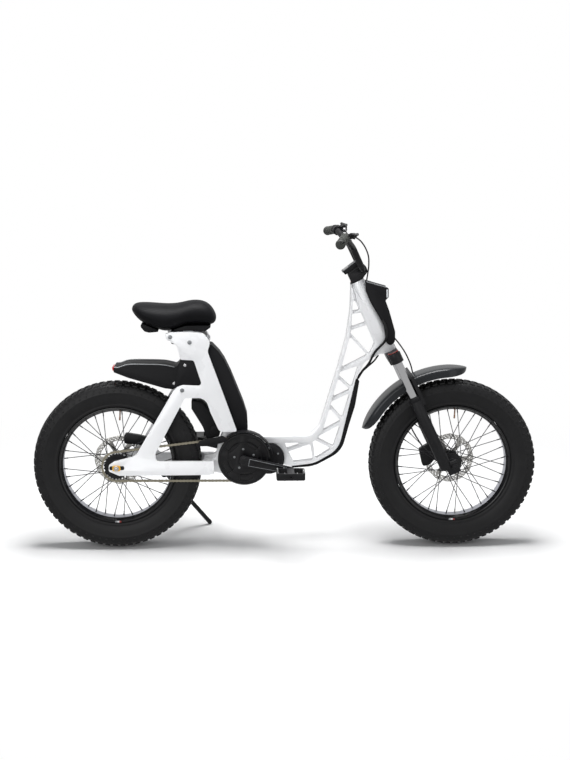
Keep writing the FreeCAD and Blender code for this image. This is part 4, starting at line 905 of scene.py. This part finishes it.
def axle_ends():
    matrix = AXLES["rear"]
    parts = [pipe("axle_pin", [(0, y, 0) for y in (-107.2, -106.2, 106.2, 107.2)], [5, 6, 6, 5],
                  matrix, steel)]
    # A thin gloss black sheet on the plate gives the axle slot its dark: painted shade of the opening
    slot = rounded_loop([(-25, -6, 7), (28, -6, 7), (28, 8, 7), (-25, 8, 7)])
    plate = rounded_loop([(-14.5, -10, 8), (14.5, -10, 8), (14.5, 10, 8), (-14.5, 10, 8)])
    for side in SIDES:
        for label, loops, near, far, finish, edge in (
            ("slot", [slot], 87.9, 88.3, gloss_black, 0.1),
            ("washer", [plate, circle_loop(6.2)], 88.3, 91.4, amber, 0.5),
            ("nut", [circle_loop(10, 6), circle_loop(6.1)], 91.4, 99.2, steel, 0.8),
            ("backing", [circle_loop(30, 40), circle_loop(6.2)], 76, 78, gloss_black, 0.4),
        ):
            parts.append(slab(f"{label}_{side}", loops, side * near, side * far, matrix, finish, edge))
    fit(joined("rear_axle_set", parts), "root", "steel", "rear_axle")


def fender_rails():
    # Raised rims along the rear fender's deck, in lighter grey as a painted highlight along their top edges,
    # and the strip on top of the mast
    for side in SIDES:
        line = [(-4, 658.2), (12, 658.6), (46, 668.4), (108, 668.6), (170, 666.2), (208, 658)]
        line = smooth_line([(x, side * 58, z) for x, z in line], 8)
        # The rims' lighter grey is a painted highlight
        fit(pipe(f"fender_rim_{side}", line, 2.2, BIKE, grey_trim, sides=12), "root", "grey_plastic")
    strip = rounded_loop([(240, 787.6), (266, 788.2, 30), (303, 783.4, 30), (322, 771, 6), (319, 769, 2),
                          (301, 780.6, 30), (266, 785.6, 30), (240, 785.8)])
    fit(slab("mast_trim", [strip], -87, -62, BIKE, grey_trim, edge=0.4), "root", "grey_plastic")


axle_ends()
fender_rails()


# Front fender: a shell round the wheel whose two ends are rounded off

FENDER_OUTSIDE = [(60, 316), (60, 336), (59, 341), (55, 345), (46, 347.2), (24, 348), (0, 348)]
FENDER_INSIDE = [(57, 316), (57, 336), (54.5, 341), (46, 344), (24, 345), (0, 345)]
FENDER_FIRST, FENDER_LAST, FENDER_ROUND = 82, 159, 13
FENDER_STEPS = 84


def front_fender():
    ring = FENDER_OUTSIDE + [(-y, r) for y, r in reversed(FENDER_OUTSIDE[:-1])]
    ring += [(-y, r) for y, r in FENDER_INSIDE] + FENDER_INSIDE[-2::-1]
    points = []
    for i in range(FENDER_STEPS + 1):
        angle = FENDER_FIRST + (FENDER_LAST - FENDER_FIRST) * i / FENDER_STEPS
        edge = min(angle - FENDER_FIRST, FENDER_LAST - angle)
        share = 1.0
        if edge <= FENDER_ROUND:
            share = math.sqrt(max(0.0, 1 - ((FENDER_ROUND - edge) / FENDER_ROUND) ** 2))
        share = max(share, 0.12)
        for y, radius in ring:
            top = 348 if radius > 316.5 or abs(y) > 57.5 else 345
            x, z = polar(top - (top - radius) * (0.2 + 0.8 * share), math.radians(angle))
            points.append((x, y * share, z))
    rows, count = FENDER_STEPS + 1, len(ring)
    mesh = mesh_from("front_fender_shell", points, skin(rows, count) + ends(rows, count), AXLES["front"])
    thing = new_object("front_fender_shell", clean(mesh, 40, merge=1e-7), fender_grey)
    fit(thing, "steering", "grey_plastic", "front_fender")


front_fender()


# Fork: wipers, caps and the accent on its crown

def in_head(x, z):
    # A spot of the bike's side view, seen from the steering axis
    spot = turned(HEAD_ANGLE) @ Vector((x - HEAD_TOP[0], 0, z - HEAD_TOP[1]))
    return spot.x, spot.z


AXLE_X, AXLE_Z = in_head(WHEELBASE, TYRE_RADIUS)
LEG_X = AXLE_X - 30
WIPER = ((-2, 15.2), (-2, 21.4), (3, 22.4), (9, 21.6), (14, 18.0), (15, 15.2))
FORK_CAP = [(-277, 0), (-277, 19), (-271, 18), (-268.5, 15), (-268.5, 0)]
FORK_RING = [(-271.6, 18.0), (-271.6, 19.6), (-270.0, 19.2), (-270.0, 17.6)]


def fork_details():
    upright = turned(90, "X")
    parts = []
    for side in SIDES:
        leg = HEAD @ shift(LEG_X, side * 95, 0) @ upright
        wiper = [(AXLE_Z + 277 + z, radius) for z, radius in WIPER]
        parts.append(lathe(f"wiper_{side}", wiper, 40, leg, black_plastic))
        parts.append(lathe(f"cap_{side}", FORK_CAP, 36, leg, black_metal))
        parts.append(lathe(f"ring_{side}", FORK_RING, 36, leg, dark_red))
    fit(joined("fork_trim", parts), "steering", "black_metal")
    top = HEAD @ upright
    race = lathe("top_race", [(0.2, 15), (0.2, 25.6), (4.5, 24.8), (7, 20), (7, 15)], 48, top, black_metal)
    ring = lathe("red_ring", [(7.2, 15), (7.2, 21.6), (8.8, 21.6), (8.8, 15)], 48, top, dark_red)
    fit(joined("headset_rings", [race, ring]), "steering", "black_metal")


fork_details()


# Lamp housing, display and handlebar

def cockpit():
    lid_edge = rounded_loop([(885, 957.6), (961, 935.8), (961, 933.4), (885, 955)], 2)
    bezel = rounded_loop([(961.6, 932, 1), (966.4, 930, 1), (966.4, 899, 1), (962, 897, 1)], 2)
    strip = rounded_loop([(957.5, 929, 2), (963, 927.4, 2), (963, 900, 2), (957.5, 899, 2)], 3)
    trims = [slab(f"lid_edge_{side}", [lid_edge], side * 33.4, side * 34.6, BIKE, grey_trim, edge=0.3)
             for side in SIDES]
    trims.append(slab("lens_bezel", [bezel], -26, 26, BIKE, black_plastic, edge=0.6))
    trims += [slab(f"lens_side_{side}", [strip], side * 33.4, side * 34.9, BIKE, lamp_clear, edge=0.4)
              for side in SIDES]
    fit(joined("housing_trim", trims), "root", "grey_plastic")
    rim = [(-33.4, 51.6), (-33.4, 55.2), (27.2, 68.2), (28.0, 64.6), (26.2, 64.6), (25.6, 66.6),
           (-31.6, 54.2), (-31.6, 51.6)]
    face = [(-27, 56.0), (22, 66.2), (22, 66.9), (-27, 56.7)]
    frame_strip = slab("display_rim", [rim], -32.9, 32.9, HEAD, fender_grey, edge=0.3)
    glass = slab("display_glass", [face], -26, 26, HEAD, screen, edge=0.1)
    fit(joined("display_face", [frame_strip, glass]), "steering", "white_paint")


def cable_sheath():
    # Sleeve over the cable where it climbs the side of the head panel to the lamp housing
    line = smooth_line([
        (861, 0, 606), (877, 0, 632), (892, -1, 649), (903, -8, 667), (911, -23, 689), (921, -31, 708),
        (935, -32, 723), (949, -34.5, 738), (958, -38.8, 757), (960, -38.9, 778), (955, -38.6, 798),
        (949, -36, 812), (945, -33, 820)], 6)
    fit(pipe("cable_sheath", line, 4.3, BIKE, hose, sides=14), "root", "hose_rubber")


cockpit()
cable_sheath()


# The handlebar's half, as the CAD's route, then the grip along its last run
BAR_ROUTE = ((33, 0, 34), (33, 60, 34), (33, 90, 122), (20, 190, 172), (17, 236, 178), (-11, 366, 176))
GRIP_RIBS = 24


def grip(side):
    inner, tip = ((x, side * y, z) for x, y, z in BAR_ROUTE[-2:])
    profile = [(-2.9, 0), (-2.9, 9.5), (-1.6, 13.5), (2, 16.2), (7, 17), (11, 16.6), (12, 15.4)]
    for k in range(GRIP_RIBS):
        y = 14 + k * 4.1
        profile += [(y, 15.3), (y + 0.5, 16.2), (y + 2.7, 16.2), (y + 3.2, 15.3)]
    profile += [(114, 15.4), (115, 17), (127.8, 17), (127.8, 11.3), (0.2, 11.3), (0.2, 0)]
    bands = [1] * 6 + [0] * (4 * GRIP_RIBS + 1) + [2] * 3 + [0] * 3
    return lathe(f"grip_{side}", profile, 40, axis_frame(HEAD, tip, inner),
                 [grip_rubber, black_plastic, black_metal], bands, crisp=30)


fit(joined("handlebar_grips", [grip(side) for side in SIDES]), "steering", "grip_rubber", "grips")


def bar_extras():
    # Lids, banjos and the switch box that the lever clamps carry
    parts = []
    start, stop = Vector(BAR_ROUTE[3]), Vector(BAR_ROUTE[4])
    way = (stop - start).normalized()
    spot = start + way * 18
    lid = rounded_loop([(-9, 6, 2), (9, 6, 2), (9, 14, 3), (-9, 14, 3)])
    switch = [rounded_loop([(-15, -13, 6), (15, -13, 6), (17, 12, 6), (-12, 16, 6)]), circle_loop(11.5)]
    for side in SIDES:
        along = Vector((way.x, side * way.y, way.z))
        clamp = Vector((spot.x, side * spot.y, spot.z))
        tank = clamp + Vector((22, 0, -2))
        parts.append(slab(f"tank_lid_{side}", [lid], 0, 34, axis_frame(HEAD, tank - along * 22, tank),
                          black_plastic, edge=1.2))
        end = tank - along * 30
        parts.append(pipe(f"banjo_{side}", [end + along * 2, end + along, end - along * 3, end - along * 4],
                          [5.5, 6.5, 6.5, 5.5], HEAD, steel, sides=12))
        parts.append(slab(f"switch_{side}", switch, 0, 20 if side > 0 else 9,
                          axis_frame(HEAD, clamp + along * 12, clamp + along * 30), black_plastic, edge=1.6))
    fit(joined("bar_fittings", parts), "steering", "black_plastic")


bar_extras()


# Drive

CRANK_CAP = [(110.0, 12.4), (111.4, 12.2), (112.2, 11.2), (112.2, 5.4), (110.6, 5.0), (110.6, 0), (110.0, 0)]
NOSE_COVER = [(33.6, 50), (36.4, 49), (38.2, 46), (38.2, 30), (36.8, 28), (36.8, 10), (38.0, 9), (38.0, 0),
              (33.6, 0)]
# The raised edge round the arm's hollow face, from the cap to the pedal, in lighter steel as a painted
# highlight on the arm's edge
ARM_EDGE_HIGHLIGHT = ([(16, -13), (150, -10.5), (156, 0), (150, 10.5), (16, 13)],
            [(18, -11.4), (149, -9.1), (153.6, 0), (149, 9.1), (18, 11.4)])


def guard_trim():
    backing = lathe("disc_backing", [(-61.0, 30), (-61.0, 90), (-61.8, 90), (-61.8, 30)], 72, CRANK,
                    gloss_black)
    inner = lathe("disc_inner_lip", [(-65.8, 63), (-67.0, 61.8), (-67.0, 59), (-65.8, 58)], 96, CRANK,
                  black_metal)
    outer = lathe("disc_lip", [(-66.2, 93.6), (-67.4, 92.6), (-67.4, 86), (-66.2, 85)], 96, CRANK,
                  gloss_black)
    heads = bolt_head("disc_bolt", CRANK, -1, 4.2, 1.6, bolt_steel)
    bolts = scatter("disc_bolts", heads, bolt_circle(36, -66.0, 5), CRANK)
    fit(joined("disc_trim", [backing, inner, outer, bolts]), "crank", "black_metal")


def crank_caps():
    caps = []
    for side in SIDES:
        caps.append(lathe(f"crank_cap_{side}", CRANK_CAP, 32, CRANK, gloss_black, side=side))
        loops = [[(-side * x, z) for x, z in rounded_loop(loop, 4)] for loop in ARM_EDGE_HIGHLIGHT]
        # The edge's lighter steel is a painted highlight
        caps.append(slab(f"arm_edge_{side}", loops, side * 109.6, side * 110.9, CRANK, bolt_steel, edge=0.3))
    fit(joined("crank_caps", caps), "crank", "black_metal")


def motor_covers():
    nose = BIKE @ shift(541, 0, 321)
    covers = [lathe(f"nose_cover_{side}", NOSE_COVER, 64, nose, black_metal, side=side) for side in SIDES]
    head = bolt_head("nose_bolt", BIKE, -1, 3.4, 1.6, bolt_steel)
    covers.append(scatter("nose_bolts", head, bolt_circle(38, -38.1, 6), nose))
    fit(joined("motor_covers", covers), "root", "black_metal")


def pedal_pins(name, forward):
    # Grip pins on both faces of a pedal's cage
    matrix = BIKE @ Matrix.Translation(BIKE.inverted() @ put(CRANK, (forward * 165, 0, 0)))
    middle = -forward * 166
    pin = pipe(f"{name}_pin", [(0, 0, z) for z in (-15.5, -15, 15, 15.5)], [1.2, 1.7, 1.7, 1.2],
               direction(matrix), steel, sides=8)
    spots = [(x, middle + y, 0) for x in (-45, 45) for y in (-38, -19, 0, 19, 38)]
    spots += [(x, middle + y, 0) for x in (-22, 22) for y in (-44.5, 44.5)]
    fit(scatter(f"{name}_pins", pin, spots, matrix), name, "steel")


guard_trim()
crank_caps()
motor_covers()
pedal_pins("pedal_right", 1)
pedal_pins("pedal_left", -1)


def rim_details(end):
    # Valve at the top and a plain patch at the bottom of the rim
    matrix = AXLES[end]
    x, z = polar(1, math.radians(87))
    out = Vector((x, 0, z))
    parts = [pipe(f"{end}_valve", [out * reach for reach in (195, 190, 188, 170, 169, 158, 157)],
                  [3.6, 3.4, 2.6, 2.5, 3.0, 3.0, 2.0], matrix, brass, sides=12)]
    for side in SIDES:
        for k, finish in enumerate((grey_trim, white_trim, dark_red)):
            left = -10.5 + 7 * k
            patch = [(left, -209), (left + 7, -209), (left + 7, -203), (left, -203)]
            parts.append(slab(f"{end}_patch_{side}_{k}", [patch], side * 37.0, side * 38.9, matrix, finish,
                              edge=0.05))
    fit(joined(f"{end}_rim_extras", parts), f"{end}_wheel", "steel")


rim_details("rear")
rim_details("front")


# Floor, light and camera

def shown_white(tree, own, white_kind, output, camera_share=1.0):
    # The camera, gloss and glass see plain white, a little dimmed in gloss. Other rays meet the own shader
    path = add(tree, "ShaderNodeLightPath").outputs
    mirrored = maths(tree, "MAXIMUM", path["Is Glossy Ray"], path["Is Transmission Ray"])
    seen = maths(tree, "MAXIMUM", maths(tree, "MULTIPLY", path["Is Camera Ray"], camera_share), mirrored)
    bright = maths(tree, "MULTIPLY_ADD", path["Is Glossy Ray"], -0.38, 1.0)
    plain = add(tree, white_kind, {"Color": (1, 1, 1, 1), "Strength": bright})
    both = add(tree, "ShaderNodeMixShader", {0: seen, 1: own.outputs[0], 2: plain.outputs[0]})
    add(tree, output, {"Surface": both.outputs[0]})


def stage():
    paint = bpy.data.materials.new("pale_floor")
    tree = emptied(paint)
    reach = add(tree, "ShaderNodeVectorMath", {0: place_in(tree)}, operation="LENGTH").outputs["Value"]
    far = ranged(tree, reach, 0.9, 1.9, kind="SMOOTHSTEP")
    own = add(tree, "ShaderNodeBsdfDiffuse", {"Color": (0.83, 0.83, 0.83, 1)})
    shown_white(tree, own, "ShaderNodeEmission", "ShaderNodeOutputMaterial", far)
    half = 30000
    floor = mesh_from("floor", [(-half, -half, 0), (half, -half, 0), (half, half, 0), (-half, half, 0)],
                      [(0, 1, 2, 3)])
    floor.materials.append(paint)
    linked("floor", floor)
    world = bpy.context.scene.world = bpy.data.worlds.new("studio")
    tree = emptied(world)
    own = add(tree, "ShaderNodeBackground", {"Color": (0.95, 0.97, 1.0, 1), "Strength": 0.25})
    shown_white(tree, own, "ShaderNodeBackground", "ShaderNodeOutputWorld")


def lamp(name, spot, target, size, power):
    light = bpy.data.lights.new(name, "AREA")
    light.size = size
    light.energy = power
    thing = linked(name, light)
    thing.location = spot
    thing.rotation_euler = (Vector(target) - Vector(spot)).to_track_quat("-Z", "Y").to_euler()


def camera():
    view = bpy.data.cameras.new("camera")
    view.sensor_fit = "VERTICAL"
    view.sensor_height = 36
    view.lens = 73.8
    view.clip_end = 100
    thing = linked("camera", view)
    spot, target = put(BIKE, (424, -5500, 1484)), put(BIKE, (600, 0, 601))
    forward = (target - spot).normalized()
    right = forward.cross(upward).normalized()
    thing.matrix_world = Matrix((right, right.cross(forward), -forward)).transposed().to_4x4()
    thing.matrix_world.translation = spot
    bpy.context.scene.camera = thing


stage()
lamp("top", (0, 0.1, 3.4), (0, 0.05, 0), 1.9, 158)
lamp("key", (-1.5, -3.4, 1.9), (0, 0, 0.6), 2.0, 37)
lamp("fill", (2.6, -2.8, 1.4), (0, 0, 0.6), 2.0, 10)
camera()
bpy.context.scene.view_settings.view_transform = "Standard"
